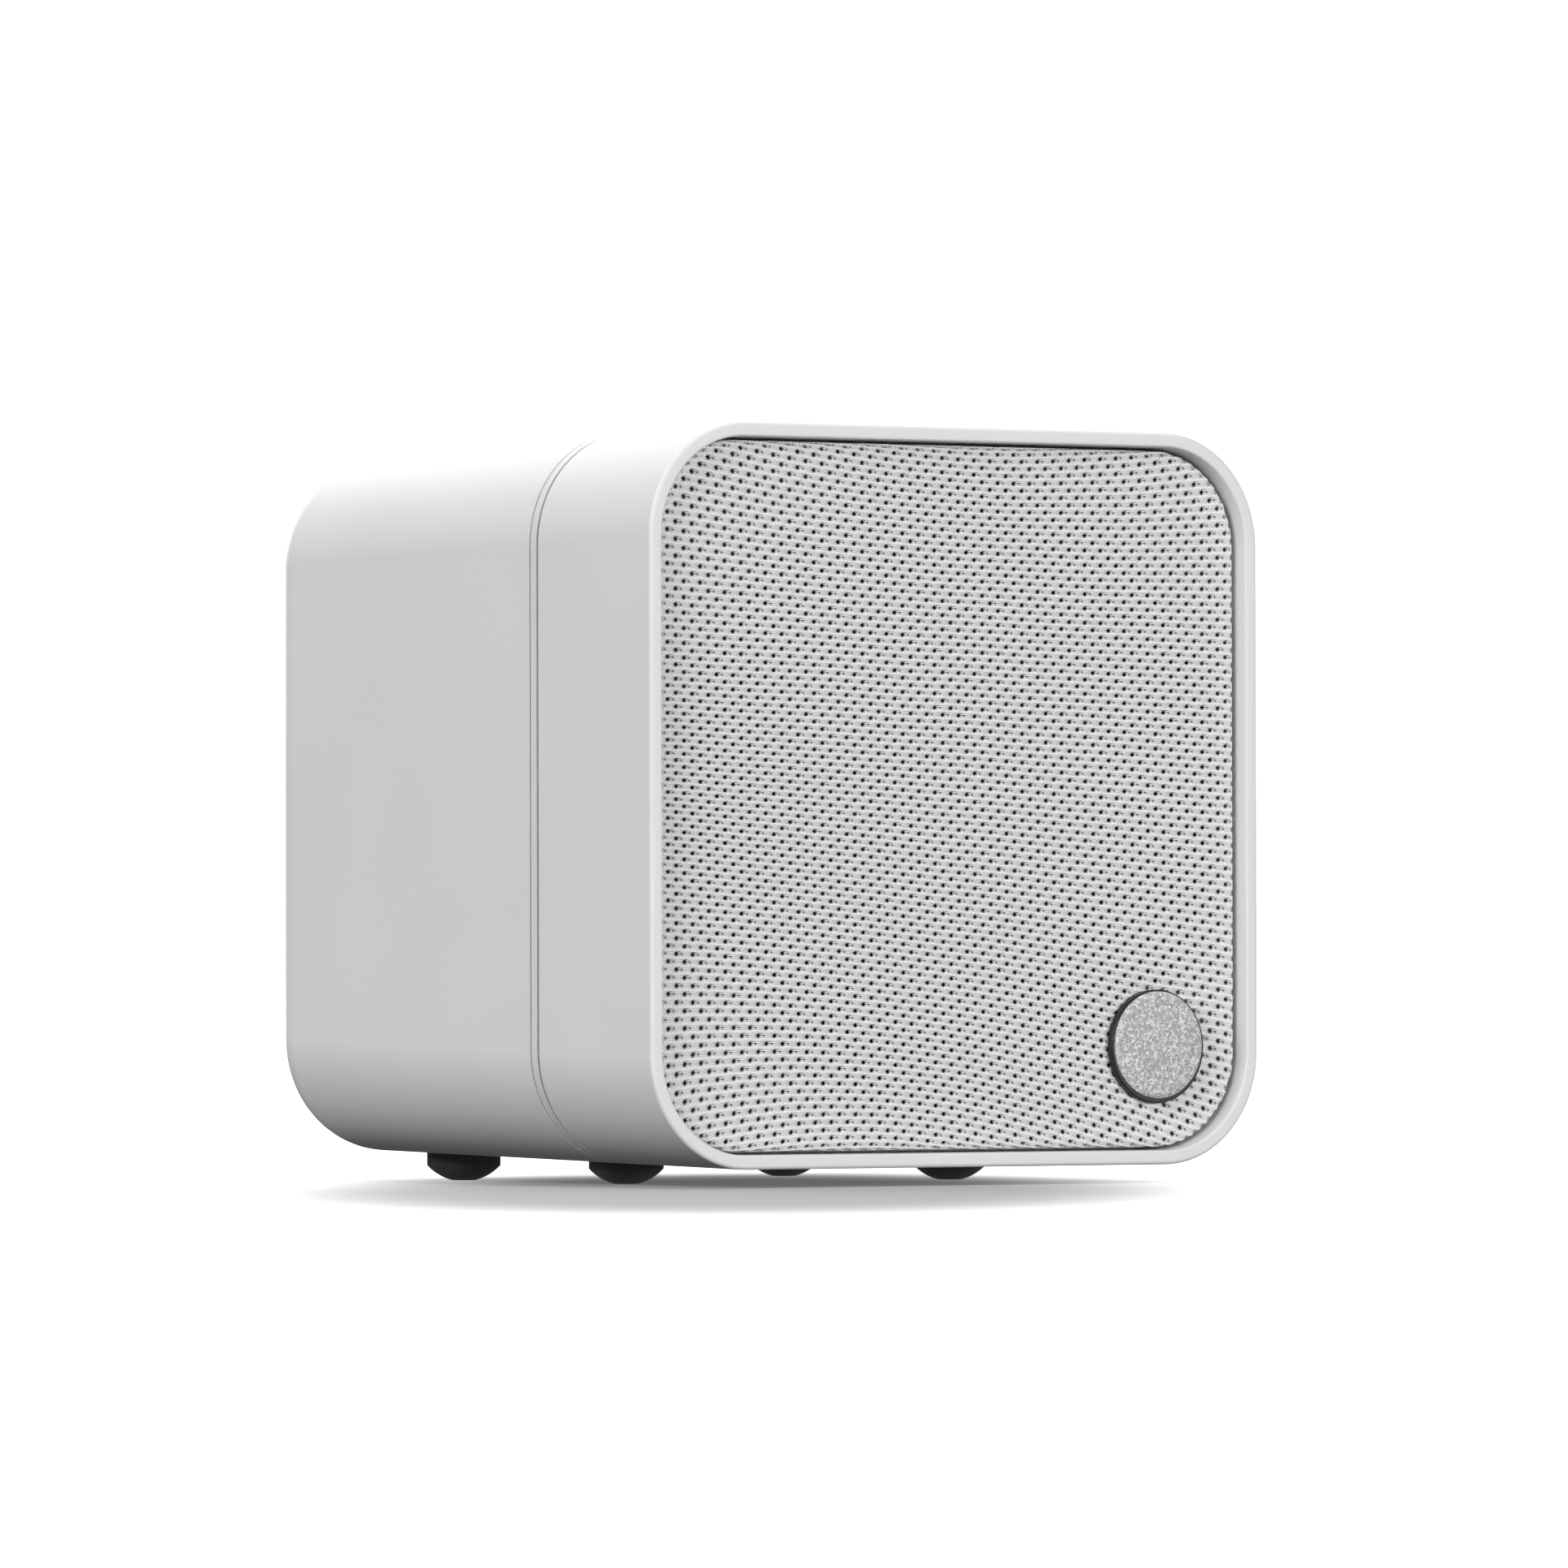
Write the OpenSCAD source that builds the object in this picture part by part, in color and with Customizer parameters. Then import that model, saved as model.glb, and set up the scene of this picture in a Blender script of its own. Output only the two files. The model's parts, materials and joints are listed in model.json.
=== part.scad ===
// Small cube loudspeaker with a pull-off grille, a flat-diaphragm driver and two binding posts.
// The front faces -Y, the floor is z = 0, and the origin is under the middle of the whole object.

/* [Cabinet] */
// Width of the cabinet at its front rim
body_w = 78; // [76:1:110]
// Height of the cabinet at its front rim
body_h = 78; // [76:1:110]
// Depth of the cabinet, without the terminal caps
body_d = 78; // [74:1:110]
// Corner radius of the cabinet seen from the front
corner_r = 12; // [9:0.5:14]
// Wall of the cabinet
wall = 2.4; // [1.8:0.1:3]
// How far each side draws in from the front to the back
draft = 1.4; // [0:0.1:2]
// Radius of the edge round the back
rear_fillet = 6; // [3:0.5:7]
// Radius of the edge round the front
front_edge_r = 0.4; // [0.2:0.1:0.8]
// Depth of the front shell, from the rim to the seam band
front_shell_d = 22; // [20:0.5:28]
// Width of the seam band
band_w = 1.8; // [1.4:0.1:3]
// Width of the groove on each side of the seam band
band_groove = 0.25; // [0.15:0.05:0.4]

/* [Grille] */
// Width of the rim seen round the grille
rim_w = 1.5; // [1.2:0.1:2.4]
// Depth of the cloth behind the rim
grille_recess = 1.4; // [1:0.1:2]
// Gap between the cloth and the rim
grille_gap = 0.35; // [0.3:0.05:0.6]
// Thickness of the cloth
cloth_t = 0.45; // [0.3:0.05:0.6]
// Thickness of the grille frame
frame_t = 2.5; // [2:0.1:3]
// Radius of the frame's round opening
frame_open_r = 34.5; // [34.3:0.1:35]
// Radius of the grille pegs
peg_r = 1.6; // [1.4:0.1:2]
// Length of the grille pegs
peg_l = 5; // [4:0.5:6]
// Radius of the badge disc
badge_r = 5.7; // [4:0.1:6]
// Distance of the badge's centre from the cabinet's side and underside
badge_inset = 12.75; // [12:0.25:14]
// Thickness of the badge disc
badge_t = 0.4; // [0.4:0.05:0.8]

/* [Driver] */
// Radius of the driver's mounting flange
flange_r = 34; // [33:0.25:34]
// Radius of the driver's flat diaphragm
diaphragm_r = 24; // [22:0.25:24.5]
// Thickness of the diaphragm
diaphragm_t = 1; // [0.8:0.1:1.4]
// Outer radius of the coil former
former_r = 9.6; // [9:0.1:10]
// Radial clearance on each side of the coil in the magnet gap
coil_gap = 0.4; // [0.3:0.05:0.5]
// Thickness of the magnet
magnet_t = 5.8; // [5:0.1:7]

/* [Terminals] */
// Distance between the binding posts
post_pitch = 19; // [18:0.5:20]
// Radius of a binding post's shaft
post_r = 3; // [2.9:0.1:3.2]
// Radius of the plug socket in a post
socket_r = 2; // [1.9:0.05:2.1]
// Radius of the wire hole through a post
wire_hole_r = 1.2; // [0.8:0.1:1.2]
// Radius of a terminal cap
cap_r = 5.6; // [5.2:0.1:6]
// How far the terminal caps stand out behind the cabinet
cap_out = 7; // [5:0.5:9]
// Width of the terminal dish's flange
dish_w = 48; // [48:1:54]
// Height of the terminal dish's flange
dish_h = 25; // [24:0.5:28]
// Depth of the terminal dish
dish_d = 12; // [11:0.5:13]
// Height of the posts below the middle of the back
post_drop = 14; // [13:0.5:16]

/* [Wall mounting] */
// Radius of the threaded hole in the wall-bracket insert
insert_hole_r = 3.2; // [3:0.1:3.3]
// Length of the insert
insert_l = 9; // [7:0.5:11]
// Height of the insert above the middle of the back
insert_rise = 7; // [6:0.5:8]
// Height of the keyhole plate's middle above the middle of the back
keyhole_rise = 22; // [21:0.5:23]
// Radius of the keyhole's round end
keyhole_head_r = 4.2; // [3.8:0.1:4.4]
// Half width of the keyhole's slot
keyhole_slot_r = 2.1; // [1.8:0.1:2.4]

/* [Feet] */
// Radius of a foot
foot_r = 4; // [3:0.25:5]
// Height of the cabinet's front underside above the floor
foot_h = 1.9; // [1.5:0.1:3]
// Distance of the feet from the cabinet's sides
foot_inset = 18; // [16:0.5:22]
// Distance of the front feet behind the seam band
foot_seam_gap = 8.2; // [6:0.1:12]
// Distance of the rear feet ahead of the back
foot_rear_d = 14; // [12:0.5:18]

/* [Hidden] */

$fn = 96;
hull_fn = 32;            // sides of a circle inside a hull
thin = 0.02;             // thickness of a slice inside a hull
over = 1;                // how far a cut runs past the face it opens

white = [0.86, 0.86, 0.86];
black = [0.06, 0.06, 0.06];
steel = [0.62, 0.63, 0.65];
brass = [0.8, 0.62, 0.3];
cap_colours = [[0.7, 0.06, 0.05], [0.08, 0.08, 0.08]];

// frame: depth d is measured back from the rim, so y = front_y + d
front_y = -(body_d + cap_out) / 2;
mid_z = foot_h + body_h / 2;
half_w = body_w / 2;
half_h = body_h / 2;
back_d = body_d;
seam_d = front_shell_d;
rear_start = front_shell_d + band_w;

// grille stack
cloth_d = grille_recess;
frame_d = cloth_d + cloth_t;
frame_back = frame_d + frame_t;
cloth_half_w = half_w - rim_w - grille_gap;
cloth_half_h = half_h - rim_w - grille_gap;
cloth_corner_r = corner_r - rim_w - grille_gap;
cloth_roll = 0.9;        // how far the cloth's front edge rolls in
badge_x = half_w - badge_inset;
badge_z = -(half_h - badge_inset);
badge_d = 0.3;           // depth of the badge's face behind the rim
holder_lip = 0.35;       // how far the badge's black holder shows round it
stem_r = 2;
stem_over = 1;           // how far the holder's stem passes the frame
pad_r = badge_r + 0.8;    // the frame's solid pad behind the badge
pad_back = 0.8;          // how far the pad stops short of the frame's back
peg_x = half_w - 7.5;
peg_z = half_h - 15;
peg_run = 0.08;          // running clearance of a peg in its cup

// baffle
flange_t = 1.6;
gasket_t = 0.4;
baffle_d = 7.4;
baffle_t = 3;
baffle_back = baffle_d + baffle_t;
basket_r = 27.2;
basket_clear = 0.4;
flange_d = baffle_d - gasket_t - flange_t;
screw_x = half_w - 15;
screw_z = half_h - 7.5;
shell_screw_r = 1.5;
shell_head_r = 2.7;
shell_head_t = 2;
shell_screw_l = 26;
boss_r = 3.4;
boss_l = 12;
driver_screw_r = 1.3;
driver_head_r = 2.2;
driver_head_t = 1;
driver_screw_at = 31.2;
driver_boss_r = 2.6;
driver_boss_l = 4;
driver_screw_l = 7;
cup_wall = 0.9;
cup_lip = 0.8;
cup_lip_t = 0.4;
cup_end = 0.6;
lip_t = 4.2;             // wall of the two shells where they meet at the gasket
lip_l = 3;
seal_w = 1.4;
seal_in = 2.6;           // distance of the seal from the cabinet's skin
band_skin = 0.6;         // depth of the band's grooves

// driver
surround_land = 1.2;
surround_t = 0.5;
surround_out_r = 28.2;
roll_r = (surround_out_r - surround_land - diaphragm_r) / 2;
ledge_d = 13.4;
ledge_t = 1;
ledge_in_r = 21;
basket_wall = 1.2;
plate_d = 17;
plate_t = 1.2;
basket_hole_r = 11.2;
spider_t = 0.4;
spider_wave = 0.5;
spider_out_r = 24.4;
former_t = 0.3;
coil_t = 0.4;
coil_r = former_r + coil_t;
coil_d = 17.6;
coil_l = 4;
former_end = coil_d + coil_l + 0.4;
yoke_d = plate_d + plate_t;
yoke_in_r = coil_r + coil_gap;
yoke_r = 15;
pole_r = former_r - former_t - coil_gap;
pole_t = 3;
magnet_r = pole_r - 0.6;
yoke_base = 3;
magnet_d = yoke_d + pole_t;
yoke_floor = magnet_d + magnet_t;
strip_w = 14;
strip_h = 4.4;
strip_t = 1.2;
strip_z = -24.5;
tag_x = 4.5;
tag_w = 2.8;
tag_t = 0.6;
tag_l = 8;
lead_r = 0.4;
lead_d = 10.4;
lead_z = -24.8;
lead_hole_r = 0.7;

// terminals, from the dish's floor outwards
dish_wall = 1.6;
dish_side = 5.4;         // width of the dish's flange where its screws go
dish_rim = 1.6;          // width of the dish's flange above and below
dish_flange_t = 1.4;
dish_r = 4;
dish_floor_t = 2;
dish_z = -post_drop;
floor_d = back_d - dish_d;
collar_r = 5;
collar_t = 2;
spigot_r = 4.2;
washer_t = 0.8;
washer_r = 4.6;
washer_run = 0.1;
cap_d = floor_d + collar_t + washer_t;
cap_end = back_d + cap_out;
cap_end_wall = 1.4;
cap_mouth_r = 2.6;
bush_r = 4.2;
bush_l = 12;
bush_run = 0.08;         // running clearance of a cap's thread on the shaft
shaft_end = cap_end - 2.6;
shaft_in = 9;            // how far a shaft reaches in behind the dish's floor
socket_l = shaft_end - (floor_d + collar_t + 3.2);
wire_hole_d = floor_d + collar_t + 1.6;
nut_r = 4.6;
nut_t = 3;
tag_ring_r = 4.4;
solder_t = 0.6;
solder_l = 9;
solder_w = 3;
knurl_count = 18;
knurl_r = 0.45;
dish_screw_x = dish_w / 2 - 3;
dish_screw_r = 1.1;
dish_screw_head = 2.1;
dish_screw_head_t = 1.1;
dish_screw_l = 6;

// wall mounting
insert_r = 5;
insert_boss_r = 7.4;
insert_base = 2;
plate_w = 24;
plate_h = 15;
plate_keyhole_t = 1.2;
plate_r = 3;
keyhole_l = 4.6;
keyhole_clear = 0.4;     // room round a screw head in the pocket
keyhole_z = keyhole_rise - 2.4;
pocket_d = 5;
pocket_wall = 1.4;
plate_screw_x = plate_w / 2 - 3;
plate_screw_r = 1;
plate_screw_head = 1.9;
plate_screw_l = 5;

// feet
foot_flat_r = 1.2;
foot_dome_h = 1.75;
foot_top = foot_h + draft + 0.2;
foot_x = half_w - foot_inset;
foot_front_d = rear_start + foot_seam_gap;

// wires inside the cabinet: points are x, depth, height from the middle
wire_r = 0.8;
wire_sides = 8;
wire_steps = 5;          // rings between one point of a wire's run and the next
connector_end = ledge_d + ledge_t + tag_l + 2.8;
solder_d = back_d - dish_d - dish_floor_t - solder_t;
wire_run = [[tag_x, connector_end, strip_z], [tag_x, connector_end + 3, strip_z], [6.5, 34, -27],
  [8.5, 44, -28], [post_pitch / 2, 54, -26.5], [post_pitch / 2, solder_d - 3, dish_z - 8.5],
  [post_pitch / 2, solder_d, dish_z - 7.4]];
connector_l = 6.8;
connector_w = 4;
connector_t = 1.8;
wadding_w = 58;
wadding_start = rear_start + boss_l + 1.2;
wadding_end = floor_d - shaft_in - 2;
wadding_low = -18;
wadding_r = 6;

// how far each side has drawn in at depth d
function inset(d) = draft * d / body_d;
function y_at(d) = front_y + d;

module rounded_square(w, h, r) {
  square([w - 2 * r, h], center = true);
  square([w, h - 2 * r], center = true);
  for (sx = [-1, 1], sz = [-1, 1])
    translate([sx * (w / 2 - r), sz * (h / 2 - r)]) circle(r = r);
}

// extrudes an outline, drawn as seen from the front, from depth d0 to depth d1
module between(d0, d1) {
  translate([0, y_at(d1), mid_z]) rotate([90, 0, 0]) linear_extrude(height = d1 - d0) children();
}

// a disc or shaft along the depth, centred at x and z from the cabinet's middle
module rod(r, d0, d1, x = 0, z = 0) {
  translate([x, y_at(d1), mid_z + z]) rotate([90, 0, 0]) cylinder(r = r, h = d1 - d0);
}

// turns a profile of [radius, depth] points round the driver's axis
module turned(profile, x = 0, z = 0) {
  translate([x, front_y, mid_z + z]) rotate([-90, 0, 0]) rotate_extrude() polygon(profile);
}

// a thin slice of the cabinet's outline, drawn in by in
module slice(d, in, r = corner_r) {
  between(d, d + thin) rounded_square(body_w - 2 * in, body_h - 2 * in, r, $fn = hull_fn);
}

// the four places that mirror about the cabinet's middle
module four(x, z) {
  for (sx = [-1, 1], sz = [-1, 1]) translate([sx * x, 0, sz * z]) children();
}

module cabinet_ring(d0, d1, in0, in1) {
  mean = inset((d0 + d1) / 2);
  between(d0, d1) difference() {
    rounded_square(body_w - 2 * (mean + in0), body_h - 2 * (mean + in0), corner_r - in0);
    rounded_square(body_w - 2 * (mean + in1), body_h - 2 * (mean + in1), corner_r - in1);
  }
}

module front_shell() {
  color(white) difference() {
    union() {
      difference() {
        hull() {
          slice(0, front_edge_r, corner_r - front_edge_r);
          slice(front_edge_r * 0.3, front_edge_r * 0.3, corner_r - front_edge_r * 0.3);
          slice(front_edge_r, 0);
          slice(seam_d - thin, inset(seam_d));
        }
        between(-over, baffle_d)
          rounded_square(body_w - 2 * rim_w, body_h - 2 * rim_w, corner_r - rim_w);
        between(baffle_back, seam_d + over)
          rounded_square(body_w - 2 * wall - draft, body_h - 2 * wall - draft, corner_r - wall);
      }
      cabinet_ring(seam_d - lip_l, seam_d, wall - over / 2, lip_t);
      driver_screw_places() rod(driver_boss_r, baffle_back - over, baffle_back + driver_boss_l);
    }
    rod(basket_r + basket_clear, baffle_d - over, baffle_back + over);
    four(screw_x, screw_z) rod(shell_screw_r + 0.1, baffle_d - over, baffle_back + over);
    four(peg_x, peg_z) rod(peg_r + peg_run + cup_wall, baffle_d - over, baffle_back + over);
    driver_screw_places() rod(driver_screw_r, baffle_d - over, baffle_d + driver_screw_l);
  }
}

module driver_screw_places() {
  for (a = [0, 90, 180, 270]) translate([driver_screw_at * cos(a), 0, driver_screw_at * sin(a)])
    children();
}

module seam_band() {
  color(white) union() {
    cabinet_ring(seam_d, rear_start, band_skin, seal_in - 0.1);
    cabinet_ring(seam_d + band_groove, rear_start - band_groove, 0, band_skin + over / 2);
  }
}

module shell_gasket() {
  color(black) cabinet_ring(seam_d, rear_start, seal_in, seal_in + seal_w);
}

module rear_shell() {
  color(white) difference() {
    union() {
      difference() {
        hull() {
          slice(rear_start, inset(rear_start));
          for (a = [0:22.5:90])
            slice(back_d - rear_fillet * (1 - sin(a)) - thin,
              inset(back_d) + rear_fillet * (1 - cos(a)), corner_r - rear_fillet * (1 - cos(a)));
        }
        hull() {
          slice(rear_start - over, inset(rear_start) + wall, corner_r - wall);
          slice(back_d - rear_fillet, inset(back_d) + wall, corner_r - wall);
          slice(back_d - wall - thin, inset(back_d) + rear_fillet, corner_r - rear_fillet);
        }
      }
      cabinet_ring(rear_start, rear_start + lip_l, wall - over / 2, lip_t);
      shell_bosses();
      between(floor_d - dish_floor_t, back_d - over) translate([0, dish_z])
        rounded_square(dish_w - 1, dish_h - 1, dish_r + over);
      rod(insert_boss_r, back_d - insert_l - insert_base, back_d - over, 0, insert_rise);
      between(back_d - plate_keyhole_t - pocket_d - pocket_wall, back_d - over)
        translate([0, keyhole_rise])
          rounded_square(plate_w - 2, plate_h + pocket_wall, plate_r);
    }
    foot_places() foot_solid();
    four(screw_x, screw_z) rod(shell_screw_r, rear_start - over, rear_start + boss_l - 1);
    dish_recess();
    rod(insert_r, back_d - insert_l, back_d + over, 0, insert_rise);
    keyhole_recess();
  }
}

// bosses for the long screws, with a web to the cabinet's wall
module shell_bosses() {
  for (sx = [-1, 1], sz = [-1, 1]) {
    rod(boss_r, rear_start + 0.6, rear_start + boss_l, sx * screw_x, sz * screw_z);
    web_h = half_h - screw_z - inset(rear_start + boss_l) - wall / 2;
    translate([sx * screw_x - 1, y_at(rear_start + 0.6), mid_z + sz * (screw_z + web_h / 2) - web_h / 2])
      cube([2, boss_l - 0.6, web_h]);
  }
}

module dish_flange() {
  translate([0, dish_z]) rounded_square(dish_w, dish_h, dish_r);
}

// outline of the dish's walls, drawn in by in
module dish_outline(in = 0) {
  translate([0, dish_z])
    rounded_square(dish_w - 2 * (dish_side + in), dish_h - 2 * (dish_rim + in), dish_r - in);
}

// the room that the terminal dish takes in the back
module dish_recess() {
  between(back_d - dish_flange_t, back_d + over) dish_flange();
  between(floor_d - dish_floor_t - over, back_d) dish_outline();
  for (sx = [-1, 1])
    rod(dish_screw_r, back_d - dish_screw_l, back_d, sx * dish_screw_x, dish_z);
}

module keyhole_outline() {
  translate([0, keyhole_z]) circle(r = keyhole_head_r);
  translate([0, keyhole_z + keyhole_l]) circle(r = keyhole_slot_r);
  translate([-keyhole_slot_r, keyhole_z]) square([2 * keyhole_slot_r, keyhole_l]);
}

module plate_outline() {
  translate([0, keyhole_rise]) rounded_square(plate_w, plate_h, plate_r);
}

module keyhole_recess() {
  between(back_d - plate_keyhole_t, back_d + over) plate_outline();
  between(back_d - plate_keyhole_t - pocket_d, back_d) {
    head = keyhole_head_r + keyhole_clear;
    translate([0, keyhole_z]) circle(r = head);
    translate([0, keyhole_z + keyhole_l]) circle(r = head);
    translate([-head, keyhole_z]) square([2 * head, keyhole_l]);
  }
  for (sx = [-1, 1])
    rod(plate_screw_r, back_d - plate_screw_l, back_d, sx * plate_screw_x, keyhole_rise);
}

module shell_screws() {
  color(steel) four(screw_x, screw_z) union() {
    rod(shell_head_r, baffle_d - shell_head_t, baffle_d);
    rod(shell_screw_r, baffle_d - over, baffle_d + shell_screw_l);
  }
}

// one foot, standing on z = 0, centred on x = y = 0
module foot_solid() {
  dome_r = (pow(foot_r, 2) + pow(foot_dome_h, 2)) / (2 * foot_dome_h);
  intersection() {
    cylinder(r = foot_r, h = foot_top);
    union() {
      translate([0, 0, foot_dome_h]) cylinder(r = foot_r + over, h = foot_top);
      translate([0, 0, dome_r - foot_sink(dome_r)]) sphere(r = dome_r);
    }
  }
}

// how far the dome's bottom is cut off so that the foot stands on a small flat
function foot_sink(dome_r) = dome_r - sqrt(pow(dome_r, 2) - pow(foot_flat_r, 2));

module foot_at(sx, rear) {
  d = rear ? back_d - foot_rear_d : foot_front_d;
  translate([sx * foot_x, y_at(d), 0]) children();
}

module foot_places() {
  for (sx = [-1, 1], rear = [false, true]) foot_at(sx, rear) children();
}

module foot_front_left() { color(black) foot_at(-1, false) foot_solid(); }
module foot_front_right() { color(black) foot_at(1, false) foot_solid(); }
module foot_rear_left() { color(black) foot_at(-1, true) foot_solid(); }
module foot_rear_right() { color(black) foot_at(1, true) foot_solid(); }

// the grille's outline with its front edge rolled back, grown or shrunk by in
module grille_block(d0, d1, in) {
  w = 2 * (cloth_half_w - in);
  h = 2 * (cloth_half_h - in);
  r = cloth_corner_r - in;
  hull() {
    between(d0, d0 + thin)
      rounded_square(w - 2 * cloth_roll, h - 2 * cloth_roll, r - cloth_roll, $fn = hull_fn);
    between(d0 + 0.3 * cloth_roll, d0 + 0.3 * cloth_roll + thin)
      rounded_square(w - 0.6 * cloth_roll, h - 0.6 * cloth_roll, r - 0.3 * cloth_roll, $fn = hull_fn);
    between(d0 + cloth_roll, d1) rounded_square(w, h, r, $fn = hull_fn);
  }
}

module grille_cloth() {
  color([0.75, 0.75, 0.75]) difference() {
    grille_block(cloth_d, frame_back, 0);
    grille_block(frame_d, frame_back + over, cloth_t);
    rod(stem_r, 0, frame_back, badge_x, badge_z);
  }
}

module grille_frame() {
  color(black) difference() {
    union() {
      difference() {
        grille_block(frame_d, frame_back, cloth_t);
        rod(frame_open_r, frame_d - over, frame_back + over);
      }
      intersection() {
        rod(pad_r, frame_d, frame_back - pad_back, badge_x, badge_z);
        grille_block(frame_d, frame_back, cloth_t);
      }
      four(peg_x, peg_z) rod(peg_r, frame_back - over, frame_back + peg_l);
    }
    rod(stem_r, frame_d - over, frame_back + over, badge_x, badge_z);
  }
}

module badge_disc() {
  bevel = 0.25;
  color(steel) turned([[0, badge_d], [badge_r - bevel, badge_d], [badge_r, badge_d + bevel],
    [badge_r, badge_d + badge_t], [0, badge_d + badge_t]], badge_x, badge_z);
}

module badge_holder() {
  face = badge_d + badge_t;
  color(black) turned([[0, face], [badge_r + holder_lip, face], [badge_r + holder_lip, cloth_d],
    [stem_r, cloth_d], [stem_r, frame_back + stem_over], [0, frame_back + stem_over]],
    badge_x, badge_z);
}

module peg_cups() {
  r = peg_r + peg_run;
  end = frame_back + peg_l + 0.3;
  color(black) four(peg_x, peg_z)
    turned([[r, baffle_d - cup_lip_t], [r + cup_wall + cup_lip, baffle_d - cup_lip_t],
      [r + cup_wall + cup_lip, baffle_d], [r + cup_wall, baffle_d],
      [r + cup_wall, end + cup_end], [0, end + cup_end], [0, end], [r, end]]);
}

module driver_basket() {
  w = basket_wall;
  low_r = ledge_in_r + w;
  color(black) difference() {
    turned([[surround_out_r, flange_d], [flange_r, flange_d], [flange_r, flange_d + flange_t],
      [basket_r, flange_d + flange_t], [basket_r, ledge_d + ledge_t],
      [low_r, ledge_d + ledge_t], [low_r, plate_d + plate_t],
      [basket_hole_r, plate_d + plate_t], [basket_hole_r, plate_d], [ledge_in_r, plate_d],
      [ledge_in_r, ledge_d], [basket_r - w, ledge_d], [basket_r - w, flange_d + flange_t],
      [surround_out_r - surround_land, flange_d + flange_t],
      [surround_out_r - surround_land, flange_d + flange_t - 0.4],
      [surround_out_r, flange_d + flange_t - 0.4]]);
    for (a = [45, 135, 225, 315]) translate([0, 0, mid_z]) rotate([0, a, 0])
      translate([basket_r - 3, y_at(8.8), -9]) cube([6, 3.6, 18]);
    for (sx = [-1, 1]) rod(lead_hole_r, ledge_d - over, ledge_d + ledge_t + over, sx * tag_x, lead_z);
    driver_screw_places() rod(driver_screw_r, flange_d - over, flange_d + flange_t + over);
  }
}

module driver_gasket() {
  color(black) difference() {
    rod(flange_r - 0.4, baffle_d - gasket_t, baffle_d);
    rod(basket_r + basket_clear, baffle_d - gasket_t - over, baffle_d + over);
    driver_screw_places() rod(driver_screw_r, baffle_d - gasket_t - over, baffle_d + over);
  }
}

module driver_screws() {
  color(steel) driver_screw_places() union() {
    rod(driver_head_r, flange_d - driver_head_t, flange_d);
    rod(driver_screw_r, flange_d - 0.5, baffle_d + driver_screw_l - 1);
  }
}

// half roll between the basket's land and the diaphragm's edge, with flat lands
module surround() {
  back = flange_d + flange_t - 0.4;
  c = diaphragm_r + roll_r;
  steps = 14;
  outer = [for (i = [0:steps]) [c + roll_r * cos(180 * i / steps), back - surround_t - roll_r * sin(180 * i / steps)]];
  inner = [for (i = [steps:-1:0]) [c + (roll_r - surround_t) * cos(180 * i / steps),
    back - (roll_r - surround_t) * sin(180 * i / steps)]];
  color(black) turned(concat([[surround_out_r, back], [surround_out_r, back - surround_t]], outer,
    [[diaphragm_r - 0.9, back - surround_t], [diaphragm_r - 0.9, back]], inner));
}

module diaphragm() {
  back = flange_d + flange_t - 0.4;
  color([0.2, 0.2, 0.2]) rod(diaphragm_r - 0.1, back, back + diaphragm_t);
}

module coil_former() {
  start = flange_d + flange_t - 0.4 + diaphragm_t;
  color([0.75, 0.6, 0.35]) turned([[former_r - former_t, start], [former_r, start],
    [former_r, former_end], [former_r - former_t, former_end]]);
}

module voice_coil() {
  color([0.75, 0.35, 0.15]) turned([[former_r, coil_d], [coil_r, coil_d],
    [coil_r, coil_d + coil_l], [former_r, coil_d + coil_l]]);
}

// corrugated disc from the coil former to the basket's ledge
module spider() {
  steps = 60;
  in_r = former_r + 0.05;
  land = spider_out_r - ledge_in_r;
  span = ledge_in_r - 1 - in_r;
  function wave(t) = ledge_d - spider_t - spider_wave + spider_wave * cos(360 * 4 * t);
  front = [for (i = [0:steps]) [in_r + span * i / steps, wave(i / steps)]];
  rear = [for (i = [steps:-1:0]) [in_r + span * i / steps, wave(i / steps) + spider_t]];
  color([0.85, 0.7, 0.4]) turned(concat(front,
    [[spider_out_r, ledge_d - spider_t], [spider_out_r, ledge_d]], rear));
}

module tinsel_leads() {
  color([0.75, 0.45, 0.25]) for (sx = [-1, 1]) translate([sx * tag_x, y_at(lead_d), mid_z]) union() {
    start = sqrt(pow(former_r, 2) - pow(tag_x - lead_r, 2));
    translate([0, 0, lead_z]) cylinder(r = lead_r, h = -lead_z - start);
    translate([0, 0, lead_z]) sphere(r = lead_r);
    translate([0, 0, lead_z]) rotate([-90, 0, 0])
      cylinder(r = lead_r, h = ledge_d + ledge_t - lead_d);
  }
}

module pole_plate() {
  color(steel) rod(pole_r, yoke_d, magnet_d);
}

module magnet() {
  color([0.55, 0.55, 0.58]) rod(magnet_r, magnet_d, yoke_floor);
}

module yoke_cup() {
  color(steel) turned([[yoke_in_r, yoke_d], [yoke_r, yoke_d], [yoke_r, yoke_floor + yoke_base],
    [0, yoke_floor + yoke_base], [0, yoke_floor], [yoke_in_r + 1.2, yoke_floor],
    [yoke_in_r + 1.2, yoke_d + pole_t + 1], [yoke_in_r, yoke_d + pole_t]]);
}

module terminal_strip() {
  d0 = ledge_d + ledge_t;
  color([0.45, 0.3, 0.15]) difference() {
    translate([-strip_w / 2, y_at(d0), mid_z + strip_z - strip_h / 2])
      cube([strip_w, strip_t, strip_h]);
    for (sx = [-1, 1]) translate([sx * tag_x - tag_w / 2, y_at(d0) - over, mid_z + strip_z - tag_t / 2])
      cube([tag_w, strip_t + 2 * over, tag_t]);
  }
}

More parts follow.
